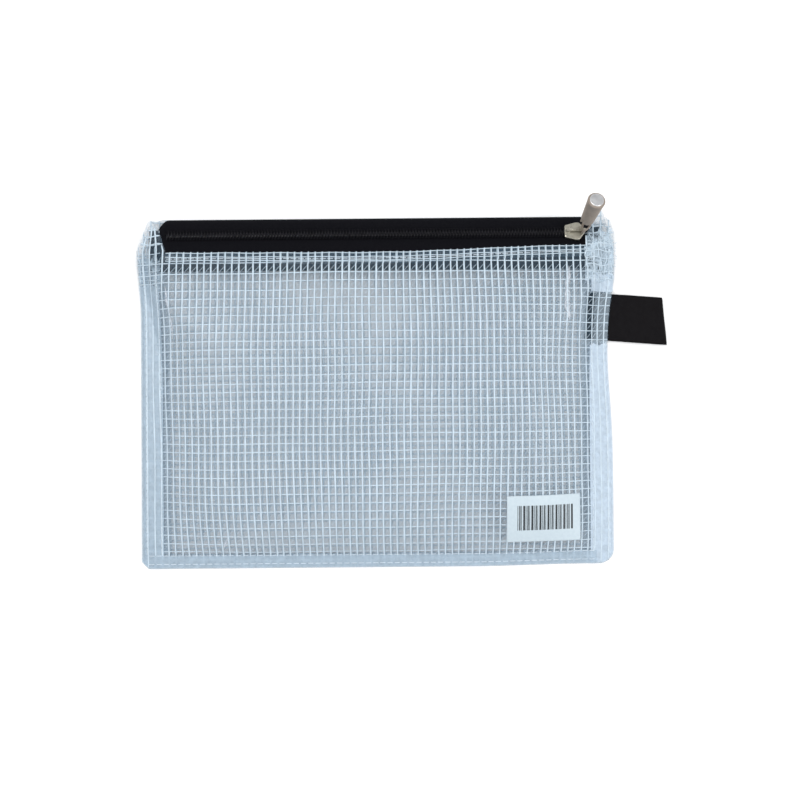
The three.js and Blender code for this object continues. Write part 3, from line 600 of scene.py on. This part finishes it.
back_upright = upright_paths(2.1, back_end, False)
lines = yarn_lines(back_at, back_upright, 0.10)
add_piece("back_grid_upright", *tubes(lines, YARN, widths(lines, 0.62), 0.22), YARN_BACK, slot="back_film")
back_level = []
for y0 in np.arange(-68.2, 70.5, PITCH_Y):
    x = stations(-YARN_END_X, YARN_END_X, 1.3)
    y = y0 + drift_y(x, y0, 3.3) + 0.006 * x
    keep = (y > bottom_y(x) + 0.4) & (y < back_end(x) - 0.3)
    runs = np.split(np.arange(len(x)), np.where(np.diff(keep.astype(int)) != 0)[0] + 1)
    back_level += [(x[r], y[r]) for r in runs if keep[r[0]] and len(r) > 4]
lines = yarn_lines(back_at, back_level, -0.02)
add_piece("back_grid_level", *tubes(lines, YARN, widths(lines, 0.48), 0.18), YARN_BACK, slot="back_film")


# The hem's own yarns and its stitches
hem_lines = []
for drop in (0.35, 2.0, 3.4):
    x = stations(MOUTH_LEFT_X + 0.2, MOUTH_RIGHT_X - 0.2, 1.3)
    y = hem_y(x) - drop + 0.12 * np.sin(0.3 * x + drop)
    hem_lines.append(on_surface(front_at, x, y, np.full(len(x), 0.36)))
add_piece("hem_grid_level", *tubes(hem_lines, YARN, 0.36, 0.2), YARN_PALE, slot="front_film")
hem_up = []
for x0 in upright_x:
    if MOUTH_LEFT_X + 0.5 < x0 < MOUTH_RIGHT_X - 0.5:
        y = np.linspace(float(hem_y(x0)) - HEM_BAND + 0.1, float(hem_y(x0)) + 0.1, 8)
        x = x0 + drift_x(x0, y, 0.0) + 0.22
        hem_up.append(on_surface(front_at, x, y, np.full(8, 0.42)))
add_piece("hem_grid_upright", *tubes(hem_up, YARN, 0.46, 0.2), YARN_PALE, slot="front_film")


def stitches(paths, surface, off, length=2.4, gap=0.5, thick=0.26, arch=0.14):
    """Rows of lockstitches: short arched threads that dive into the sheet at both ends."""
    out = []
    for px, py in paths:
        seg = np.hypot(np.diff(px), np.diff(py))
        s = np.concatenate([[0], np.cumsum(seg)])
        at = 0.0
        while at + length < s[-1]:
            u = np.linspace(at, at + length, 9)
            x, y = np.interp(u, s, px), np.interp(u, s, py)
            bow = np.sin(np.linspace(0, math.pi, 9)) ** 0.5 * arch - 0.06
            n = normals_of(surface, x, y)
            out.append((surface(x, y) + n * (off + bow)[:, None], n))
            at += length + gap
    return tubes(out, ROUND, thick, thick)


x = stations(MOUTH_LEFT_X + 0.6, MOUTH_RIGHT_X - 0.6, 1.0)
add_piece("hem_stitches", *stitches([(x, hem_y(x) - 2.7)], front_at, 0.5), SEWING, slot="front_film")


# Seam allowances: further layers of film between the panels, and the rows of stitches
def layer_at(height):
    def surface(x, y):
        x, y = np.broadcast_arrays(np.asarray(x, float), np.asarray(y, float))
        edge = np.minimum(HALF_WIDTH - np.abs(x), y - bottom_y(x))
        room = (front_mid(x, y) - SHEET / 2 - lift(x, y)) / 2.15
        z = SHEET / 2 + lift(x, y) + np.minimum(height, height * room) * smooth(edge / 0.5 + 0.4)
        return np.stack([to_edge(x, y), y, z], -1)
    return surface


for side, name in ((-1, "left"), (1, "right")):
    inner = HALF_WIDTH - SIDE_SEAM + (0.4 if side < 0 else 0.0)
    # the layers above the label's lower leg leave its place open
    top = 55.5 if side < 0 else 59.0
    spans = {0.42: [(-71.0, top)], 1.0: [(-71.0, top)], 1.72: [(-71.0, top)]}
    if side > 0:
        spans[1.0] = spans[1.72] = [(-71.0, LABEL_Y - 10.6), (LABEL_Y + 11.0, top)]
    for number, (height, runs) in enumerate(spans.items()):
        xs = np.sort(side * np.linspace(inner - (2.9, 1.3, 0.0)[number], HALF_WIDTH - 0.5, 18))
        for part, (low, high) in enumerate(runs):
            gx, gt = np.meshgrid(xs, np.linspace(0, 1, 90), indexing="ij")
            gy = mix(np.maximum(bottom_y(gx) + 0.5, low), np.minimum(top_y(gx), high) - 0.8, gt)
            points = layer_at(height)(gx, gy)
            add_piece(f"seam_{name}_layer_{number + 1}_{part + 1}", *sheet_mesh(points), FILM_SEAM,
                      slot="front_film" if number == 2 else "back_film")
    y = stations(-64.0, 56.0, 1.0)
    paths = [(np.full(len(y), side * x0), y) for x0 in (HALF_WIDTH - SIDE_SEAM + 1.2, 92.6)]
    add_piece(f"seam_{name}_stitches", *stitches(paths, front_at, 0.2), SEWING, slot="front_film")


# Crumpled film at the two upper corners: the seam allowances, folded over and pressed together
def crumple(x, y):
    first = 1 - np.abs(np.sin(0.62 * x + 0.38 * y + 1.3 * np.sin(0.41 * y)))
    second = 1 - np.abs(np.sin(0.71 * y - 0.52 * x + 0.9 * np.sin(0.63 * x)))
    return 0.34 * first**1.6 + 0.26 * second**1.6


def ear_at(height, amount):
    def surface(x, y):
        x, y = np.broadcast_arrays(np.asarray(x, float), np.asarray(y, float))
        p = front_at(x, y)
        p[..., 2] += height + amount * (crumple(x, y) - 0.2)
        return p
    return surface


for name, low, high, base, top, height, amount in (("left", -94.3, -85.2, 41.5, 55.0, -0.24, 0.3),
                                                   ("right", 83.2, 94.6, 44.0, 64.0, 0.3, 0.9)):
    surface = ear_at(height, amount)
    gx, gt = np.meshgrid(np.linspace(low, high, 44), np.linspace(0, 1, 90), indexing="ij")
    reach = np.minimum(top_y(gx) - 0.8, top + 1.2 * np.sin(1.7 * gx) + 0.5 * np.sin(4.1 * gx))
    gy = mix(base + 0.6 * np.sin(0.9 * gx), reach, gt)
    add_piece(f"ear_{name}_fold", *sheet_mesh(surface(gx, gy)), FILM_EAR, slot="front_film")
    sway, pitch, thread = (0.2, 3.1, 0.36) if name == "left" else (0.36, 2.5, 0.46)
    ends = 66.0 if name == "left" else 62.0
    paths = []
    for x0 in np.arange(low + 0.7, high - 0.2, pitch):
        y = stations(base + 0.5, min(float(top_y(np.array(x0))) - 1.2, ends), 0.5)
        paths.append((x0 + sway * np.sin(0.55 * y + 2.1 * x0) + 0.5 * sway * np.sin(1.7 * y), y))
    for y0 in np.arange(base + 1.0, ends - 1, pitch * 1.12):
        x = stations(low + 0.3, high - 0.2, 0.5)
        paths.append((x, y0 + sway * np.sin(0.8 * x + 1.9 * y0)))
    inside = [y < top_y(x) - 0.8 for x, y in paths]
    paths = [(x[keep], y[keep]) for (x, y), keep in zip(paths, inside) if keep.sum() > 4]
    lines = yarn_lines(surface, paths, 0.1)
    add_piece(f"ear_{name}_grid", *tubes(lines, YARN, thread, 0.18), YARN_PALE, slot="front_film")

# Short loose threads on the right ear, with the surface and limits that the loop above ended on
threads = []
for _ in range(34):
    middle_x, middle_y = RNG.uniform(low + 1.0, high - 1.0), RNG.uniform(47.0, 63.0)
    turn = RNG.uniform(-0.7, 0.7) + (math.pi / 2 if RNG.uniform() < 0.45 else 0)
    size = RNG.uniform(0.5, 1.3)
    t = np.linspace(-size, size, 7)
    x = middle_x + t * math.cos(turn) + 0.15 * t**2
    y = middle_y + t * math.sin(turn) + 0.1 * np.sin(2.2 * t)
    keep = (y < top_y(x) - 0.6) & (np.abs(x) < YARN_END_X)
    if keep.all():
        threads.append((x, y))
lines = yarn_lines(surface, threads, 0.24)
add_piece("ear_right_threads", *tubes(lines, ROUND, 0.26, 0.2), YARN_PALE, slot="front_film")

# Bottom seam
gx, gt = np.meshgrid(stations(-84.5, 84.5, 1.2), np.linspace(0, 1, 8), indexing="ij")
gy = bottom_y(gx) + 0.5 + gt * BOTTOM_SEAM
for number, height in enumerate((0.5, 0.95)):
    points = layer_at(height)(gx, gy)
    add_piece(f"seam_bottom_layer_{number + 1}", *sheet_mesh(points), FILM_SEAM, slot="back_film")
x = stations(-92.0, 88.0, 1.0)
paths = [(x, bottom_y(x) + up) for up in (2.0, BOTTOM_SEAM)]
add_piece("seam_bottom_stitches", *stitches(paths, front_at, 0.2), SEWING, slot="front_film")

# Outer seam layer: the turned edge of the film, laid over the front panel along each side
def cover_at(off):
    return lambda x, y: on_surface(front_at, x, y, np.full(np.broadcast(x, y).shape, off))[0]


# The right side's covers 1 and 2 take the lighter copy of the outer seam film, as painted light against the
# shade there
COVERS = [("left_cover_1", -94.9, -85.8, -70.0, 44.0, FILM_COVER),
          ("right_cover_1", 85.6, 94.9, -70.0, LABEL_Y - 10.8, FILM_COVER_PAINTED_LIGHT),
          ("right_cover_2", 85.6, 94.9, LABEL_Y + 10.2, 47.0, FILM_COVER_PAINTED_LIGHT),
          ("right_cover_3", 87.5, 94.6, LABEL_Y - 10.2, LABEL_Y + 9.7, FILM_HAZE)]
for name, low, high, y0, y1, look in COVERS:
    gx, gt = np.meshgrid(np.linspace(low, high, 22), stations(0, 1, 0.9 / (y1 - y0)), indexing="ij")
    wavy = y1 + 0.35 * np.sin(1.3 * gx) + 0.25 * np.sin(3.1 * gx)
    gy = mix(np.maximum(y0, bottom_y(gx) + 0.4), wavy, gt)
    add_piece(f"seam_{name}", *sheet_mesh(cover_at(0.2)(gx, gy)), look, slot="front_film")
gx, gt = np.meshgrid(stations(-90.0, 88.0, 1.0), np.linspace(0, 1, 10), indexing="ij")
points = cover_at(0.31)(gx, bottom_y(gx) + 0.4 + gt * 5.2)
add_piece("seam_bottom_cover", *sheet_mesh(points), FILM_COVER, slot="front_film")

# Pale streaks along crease lines in the front film, partly stress-whitened film and partly painted highlight
# for the glints on them: x and y of both ends, sway and width of each
CREASE_GLINTS = [(-83.2, -81.8, 43.0, 34.0, 0.15, 1.1), (-82.2, -80.6, 38.0, 27.0, 0.15, 1.2),
           (-81.0, -80.6, 31.0, 23.0, 0.1, 0.9), (76.8, 75.8, 50.0, 38.0, 0.2, 2.2),
           (75.4, 76.6, 44.0, 28.0, 0.3, 3.0), (-62.0, -58.5, -62.0, -55.0, 0.1, 0.9)]
crease_glints, crease_glint_widths = [], []
for x0, x1, y0, y1, sway, width in CREASE_GLINTS:
    t = np.linspace(0, 1, 40)
    crease_glints.append((mix(x0, x1, t) + sway * np.sin(7 * t), mix(y0, y1, t)))
    taper = np.sin(np.linspace(0.05, math.pi - 0.05, 40)) ** 0.8
    crease_glint_widths.append(width * taper * (0.8 + 0.2 * np.sin(23 * t)))
lines = yarn_lines(front_at, crease_glints, 0.16)
add_piece("front_crease_glints", *tubes(lines, YARN, crease_glint_widths, 0.1), FILM_CREASE_GLINT, slot="front_film")


# Zipper tapes
def tape_piece(name, lo, hi):
    along = np.concatenate([stations(-TAPE_END_X, -82, 0.4), stations(-81, 81, 1.0),
                            stations(82, TAPE_END_X, 0.4)])
    across = np.concatenate([lo + np.array([0.0, 0.06, 0.15]), stations(lo + 0.4, hi - 0.4, 0.35),
                             hi - np.array([0.15, 0.06, 0.0])])
    gx, gs = np.meshgrid(along, across, indexing="ij")
    edge = np.minimum(gs - lo, hi - gs)
    inner = lo if lo > 0 else hi
    gs = gs - inner * 0.96 * smooth((-gx - 81.8) / 1.0) * ramp(1 - np.abs(gs - inner) / 3)
    thin = np.sqrt(ramp(edge / 0.3) * 0.96 + 0.04) * 0.93
    rib = 0.04 * np.sin(gs * 2 * math.pi / 0.9)
    upper, lower = tape_at(gx, gs, thin + rib), tape_at(gx, gs, -thin)
    return add_piece(name, *shell_mesh(upper, lower), TAPE_CLOTH, slot="tape")


front_tape = tape_piece("front_tape_cloth", -TAPE_REACH, -TAPE_SLOT / 2)
back_tape = tape_piece("back_tape_cloth", TAPE_SLOT / 2, TAPE_REACH)
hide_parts("front_tape")
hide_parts("back_tape")


# Coils: nylon wire wound in a flattened helix round a cord, and sewn to the tapes.
# Near the slider they narrow towards their tapes, which leaves room for its post
def drawn_back(piece):
    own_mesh(piece)


def coil_piece(name, side, node):
    wire = 0.54
    first = -COIL_END_X + TOOTH_PITCH * (0.5 if side < 0 else 1.0)
    turns = int((2 * COIL_END_X - 1.2) / TOOTH_PITCH)
    u = np.linspace(0, turns, turns * 18 + 1)
    phase = 2 * math.pi * u
    x = first - 0.3 + TOOTH_PITCH * (u + 0.07 * np.sin(phase * 2))
    reach = 0.64 + (1.07 - 0.09 * parting(x)) * np.cos(phase) + 0.04 * np.cos(3 * phase)
    height = 1.275 + 0.44 * np.sin(phase)
    p = np.stack([x, side * (parting(x) + reach), height], -1)
    n = np.stack([np.zeros_like(x), np.cos(phase) * side, np.sin(phase)], -1)
    verts, faces = tubes([(p, n)], ROUND, wire, wire)
    piece = add_piece(name, verts, faces, NYLON, slot="coil", matrix=ZIP)
    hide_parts(node)
    drawn_back(piece)


coil_piece("front_coil_wire", -1, "front_coil")
coil_piece("back_coil_wire", 1, "back_coil")
for side, name in ((-1, "front"), (1, "back")):
    x = stations(-COIL_END_X, COIL_END_X, 0.5)
    p = np.stack([x, side * (parting(x) + 0.95), np.full(len(x), 1.27)], -1)
    n = np.tile([0.0, 0.0, 1.0], (len(x), 1))
    tube = tubes([(p, n)], ROUND, 0.44, 0.3)
    cord_piece = add_piece(f"{name}_coil_filler", *tube, TAPE_CLOTH, slot="cord", matrix=ZIP)
    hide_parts(f"{name}_coil_cord")
    drawn_back(cord_piece)
    threads = []
    for reach in (1.3, 1.66):
        u = np.arange(-COIL_END_X + 0.5, COIL_END_X - 0.5, 0.15)
        dip = 2.03 - 0.30 * np.cos(2 * math.pi * (u - (0.0 if side < 0 else 0.6)) / TOOTH_PITCH) ** 2
        y = side * (parting(u) + reach + 0.14 * np.sin(2 * math.pi * u / TOOTH_PITCH))
        threads.append((np.stack([u, y, dip], -1), np.tile([0.0, 0.0, 1.0], (len(u), 1))))
    tube = tubes(threads, ROUND, 0.2, 0.16)
    stitch_piece = add_piece(f"{name}_coil_stitches", *tube, TAPE_CLOTH, slot="cord", matrix=ZIP)
    drawn_back(stitch_piece)


# Slider and pull
def remeshed(obj, voxel, passes):
    bpy.context.view_layer.update()
    voxels = obj.modifiers.new("voxels", "REMESH")
    voxels.mode, voxels.voxel_size, voxels.use_smooth_shade = "VOXEL", voxel, True
    rounding = obj.modifiers.new("rounding", "SMOOTH")
    rounding.factor, rounding.iterations = 0.5, passes
    depsgraph = bpy.context.evaluated_depsgraph_get()
    mesh = bpy.data.meshes.new_from_object(obj.evaluated_get(depsgraph))
    obj.modifiers.clear()
    obj.data = mesh
    mesh.polygons.foreach_set("use_smooth", [True] * len(mesh.polygons))


slider_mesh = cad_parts["slider_body"].data.copy()
slider = bpy.data.objects.new("slider_casting", slider_mesh)
bpy.context.scene.collection.objects.link(slider)
remeshed(slider, 0.00007, 4)
slider.data.materials.clear()
slider.data.materials.append(NICKEL)
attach(slider, "slider")
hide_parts("slider_body")


def lathe(profile, sides=72):
    r, z = np.array(profile).T
    a = np.linspace(0, 2 * math.pi, sides, endpoint=False)
    points = np.stack([np.outer(np.cos(a), r), np.outer(np.sin(a), r), np.tile(z, (sides, 1))], -1)
    faces = []
    k = len(r)
    for i in range(sides):
        for j in range(k - 1):
            here, beside = i * k + j, ((i + 1) % sides) * k + j
            faces.append((here, beside, beside + 1, here + 1))
    return points.reshape(-1, 3), faces


NECK_RADIUS, TOP_RADIUS, TAPER_START, TAPER_LENGTH = 2.45, 3.43, 5.3, 17.5
body_profile = [(0.01, 7.2), (1.35, 7.2), (1.75, 7.3), (2.15, 7.6), (2.42, 8.1), (2.57, 8.7)]
for z in np.linspace(9.2, 22.3, 12):
    body_profile.append((mix(NECK_RADIUS, TOP_RADIUS, (z - TAPER_START) / TAPER_LENGTH), z))
body_profile += [(3.45, 22.5), (3.46, 22.72), (3.42, 22.84), (3.3, 22.96), (3.0, 23.16), (2.72, 23.34)]
barrel = add_piece("pull_barrel", *lathe(body_profile), BRUSHED, "pull", "pull_metal", matrix=PULL)
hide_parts("slider_pull")
# The flat end face carries the lighter nickel: a painted highlight
end_profile = [(2.72, 23.34), (2.62, 23.42), (2.52, 23.47), (2.4, 23.49), (1.5, 23.5), (0.01, 23.5)]
add_piece("pull_end", *lathe(end_profile), PULL_END_PAINTED_HIGHLIGHT, "pull", "pull_metal", matrix=PULL)

# The pull's eye: one wire loop, twisted where it rises above the bridge
half_loop = [(1.8, 7.9), (1.95, 6.9), (2.02, 5.7), (2.02, 4.4), (1.95, 3.3), (1.85, 2.3), (1.7, 1.5),
             (1.4, 0.72), (1.0, 0.16), (0.5, -0.04)]
loop = np.array(half_loop + [(0.0, -0.08)] + [(-a, z) for a, z in half_loop[::-1]])
knots = np.concatenate([[0], np.cumsum(np.hypot(*np.diff(loop, axis=0).T))])
u = np.linspace(0, knots[-1], 80)
loop_a, loop_z = np.interp(u, knots, loop[:, 0]), np.interp(u, knots, loop[:, 1])
for _ in range(6):
    loop_a[1:-1] = (loop_a[:-2] + 2 * loop_a[1:-1] + loop_a[2:]) / 4
    loop_z[1:-1] = (loop_z[:-2] + 2 * loop_z[1:-1] + loop_z[2:]) / 4
twist = math.radians(58) * smooth((loop_z - 2.6) / 3.2)
p = np.stack([loop_a * np.sin(twist), -loop_a * np.cos(twist), loop_z], -1)
n = np.stack([np.cos(twist), np.sin(twist), np.zeros_like(u)], -1)
add_piece("pull_eye", *tubes([(p, n)], WIRE, 0.74, 0.95), BRUSHED, "pull", "pull_metal", matrix=PULL)

# Ribbon label, folded and sewn into the right side seam
lower, upper = SHEET + GAP + RIBBON / 2, SHEET + GAP + RIBBON * 1.5 + GAP
LABEL_REACH = 22.4
tip_low, radius = 0.12 + RIBBON / 2, 0.85
far = LABEL_REACH - radius
bend = np.radians(np.linspace(-90, 90, 13))
path = [(-9.0, lower), (-2, lower), (1, lower), (7, lower * 0.75), (14, tip_low + 0.05)]
path += [(far + radius * math.cos(a), tip_low + radius + radius * math.sin(a)) for a in bend]
path += [(14, tip_low + 1.8), (7, upper + 0.75), (1, upper + 0.1), (-2, upper), (-9.0, upper)]
path = np.array(path)
seg = np.concatenate([[0], np.cumsum(np.hypot(*np.diff(path, axis=0).T))])
u = stations(0, seg[-1], 0.5)
px, pz = np.interp(u, seg, path[:, 0]), np.interp(u, seg, path[:, 1])
across = np.linspace(-0.5, 0.5, 25)
tx, tz = np.gradient(px), np.gradient(pz)
tl = np.hypot(tx, tz)
gx, gw = np.meshgrid(px, across * LABEL_WIDTH, indexing="ij")
gx = gx - gw * 0.17 * ramp(gx / LABEL_REACH)
ripple = ramp((gx - 2) / 14) * 0.18 * np.sin(gw * 0.42 + gx * 0.16)
gz = pz[:, None] + ripple * (pz[:, None] > 1.0)
edge = 1 - 0.35 * smooth((np.abs(across) - 0.47) / 0.03)[None]
nx, nz = (-tz / tl)[:, None], (tx / tl)[:, None]
label_faces = [np.stack([gx + s * edge * 0.16 * nx, gw, gz + s * edge * 0.16 * nz], -1) for s in (1, -1)]
LABEL_ROOT = (float(right_edge(LABEL_Y)), LABEL_Y, 0)
LABEL = Matrix.Translation(LABEL_ROOT) @ Matrix.Rotation(math.radians(-4.5), 4, "Z")
label = add_piece("label_ribbon", *shell_mesh(*label_faces), SATIN, slot="ribbon", matrix=LABEL)
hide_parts("label_loop")

# Sticker with generic bars
STICKER = (66.2, -50.1, math.radians(1.0))
STICKER_WIDTH, STICKER_HEIGHT = 29.8, 18.8


def sticker_at(a, b, off):
    sx, sy, turn = STICKER
    x, y = sx + a * math.cos(turn) - b * math.sin(turn), sy + a * math.sin(turn) + b * math.cos(turn)
    return np.stack([x, y, front_mid(x, y) + SHEET / 2 + 0.3 + off], -1)


a, b = np.meshgrid(np.linspace(-0.5, 0.5, 61) * STICKER_WIDTH, np.linspace(-0.5, 0.5, 39) * STICKER_HEIGHT,
                   indexing="ij")
sheet = shell_mesh(sticker_at(a, b, 0.15), sticker_at(a, b, 0.0))
sticker = add_piece("sticker_sheet", *sheet, paper(), slot="sticker")
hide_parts("barcode_sticker")
bar_points, bar_faces, start, number = [], [], 0, 0
pattern = [0.25, 0.5, 0.25, 0.75]
at, bars_end = -10.7, 11.6
while at < bars_end:
    width = pattern[number % 4]
    a, b = np.meshgrid([at, at + width], np.linspace(-4.6, 5.4, 12), indexing="ij")
    points, faces = shell_mesh(sticker_at(a, b, 0.175), sticker_at(a, b, 0.14))
    bar_points.append(points)
    bar_faces.append(faces + start)
    start += len(points)
    at += width + pattern[(number * 3 + 1) % 4] * 0.62 + 0.1
    number += 1
bars = np.concatenate(bar_points), np.concatenate(bar_faces)
add_piece("sticker_bars", *bars, ink(), slot="sticker", flat=True)

# Loose yarn ends where the film was cut, at the two upper corners
frays = []
for x0, y0, dx, dy in ([(94.6, 50 + 1.5 * k, 0.9, 0.25 * (-1) ** k) for k in range(7)]
                       + [(85.5 + 1.35 * k, None, 0.25 * (-1) ** k, 0.9) for k in range(6)]
                       + [(-91.5 + 1.1 * k, None, -0.3 + 0.1 * k, 0.8) for k in range(6)]):
    y0 = float(top_y(np.array(x0))) - 0.6 if y0 is None else y0
    t = np.linspace(0, 1, 8)
    curl = RNG.uniform(-0.3, 0.3, 2)
    base = front_at(x0, y0)
    reach = RNG.uniform(0.8, 1.5)
    x, y = dx * reach * t + curl[0] * t**2, dy * reach * t + curl[1] * t**2
    p = base + np.stack([x, y, 0.25 * np.sin(3 * t)], -1)
    frays.append((p, np.tile([0.0, 0.0, 1.0], (8, 1))))
add_piece("frayed_ends", *tubes(frays, ROUND, 0.2, 0.2), YARN_PALE, slot="front_film")

# Floor, light and camera
floor_mesh = bpy.data.meshes.new("floor")
floor_mesh.from_pydata([(-2, -2, 0), (2, -2, 0), (2, 2, 0), (-2, 2, 0)], [], [(0, 1, 2, 3)])
floor = bpy.data.objects.new("floor", floor_mesh)
floor.location.z = -0.00002
bpy.context.scene.collection.objects.link(floor)
white = bpy.data.materials.new("floor_white")
white.use_nodes = True
tree = white.node_tree
tree.nodes.clear()
diffuse = tree.nodes.new("ShaderNodeBsdfDiffuse")
diffuse.inputs["Color"].default_value = (0.93, 0.93, 0.93, 1)
glow = tree.nodes.new("ShaderNodeEmission")
glow.inputs["Color"].default_value = (1, 1, 1, 1)
light_path = tree.nodes.new("ShaderNodeLightPath")
seen = tree.nodes.new("ShaderNodeMath")
seen.operation = "MAXIMUM"
tree.links.new(light_path.outputs["Is Camera Ray"], seen.inputs[0])
tree.links.new(light_path.outputs["Is Transmission Ray"], seen.inputs[1])
scale = tree.nodes.new("ShaderNodeMath")
scale.operation = "MULTIPLY"
scale.inputs[1].default_value = 0.10
tree.links.new(seen.outputs[0], scale.inputs[0])
tree.links.new(scale.outputs[0], glow.inputs["Strength"])
add = tree.nodes.new("ShaderNodeAddShader")
tree.links.new(diffuse.outputs[0], add.inputs[0])
tree.links.new(glow.outputs[0], add.inputs[1])
out = tree.nodes.new("ShaderNodeOutputMaterial")
tree.links.new(add.outputs[0], out.inputs["Surface"])
floor_mesh.materials.append(white)

world = bpy.data.worlds.new("studio")
world.use_nodes = True
bpy.context.scene.world = world
background = world.node_tree.nodes["Background"]
background.inputs["Color"].default_value = (0.97, 0.985, 1.0, 1)
background.inputs["Strength"].default_value = 0.72


def lamp(name, place, size, watts, aim=(0, 0, 0)):
    data = bpy.data.lights.new(name, "AREA")
    data.shape, data.size, data.energy = "DISK", size, watts
    o = bpy.data.objects.new(name, data)
    bpy.context.scene.collection.objects.link(o)
    o.location = place
    o.rotation_mode = "QUATERNION"
    o.rotation_quaternion = (Vector(aim) - Vector(place)).to_track_quat("-Z", "Y")


lamp("key", (-0.35, 0.3, 1.15), 0.5, 5.6)
lamp("fill", (0.78, -0.15, 1.08), 0.8, 5.9)

camera_data = bpy.data.cameras.new("camera")
camera_data.lens, camera_data.sensor_width = 58.0, 36.0
camera_data.clip_start, camera_data.clip_end = 0.01, 20
camera = bpy.data.objects.new("camera", camera_data)
bpy.context.scene.collection.objects.link(camera)
camera.location = (0.00946, -0.00270, 0.520)
camera.rotation_euler = (0, 0, math.radians(-0.5))
bpy.context.scene.camera = camera
bpy.context.scene.view_settings.view_transform = "Standard"
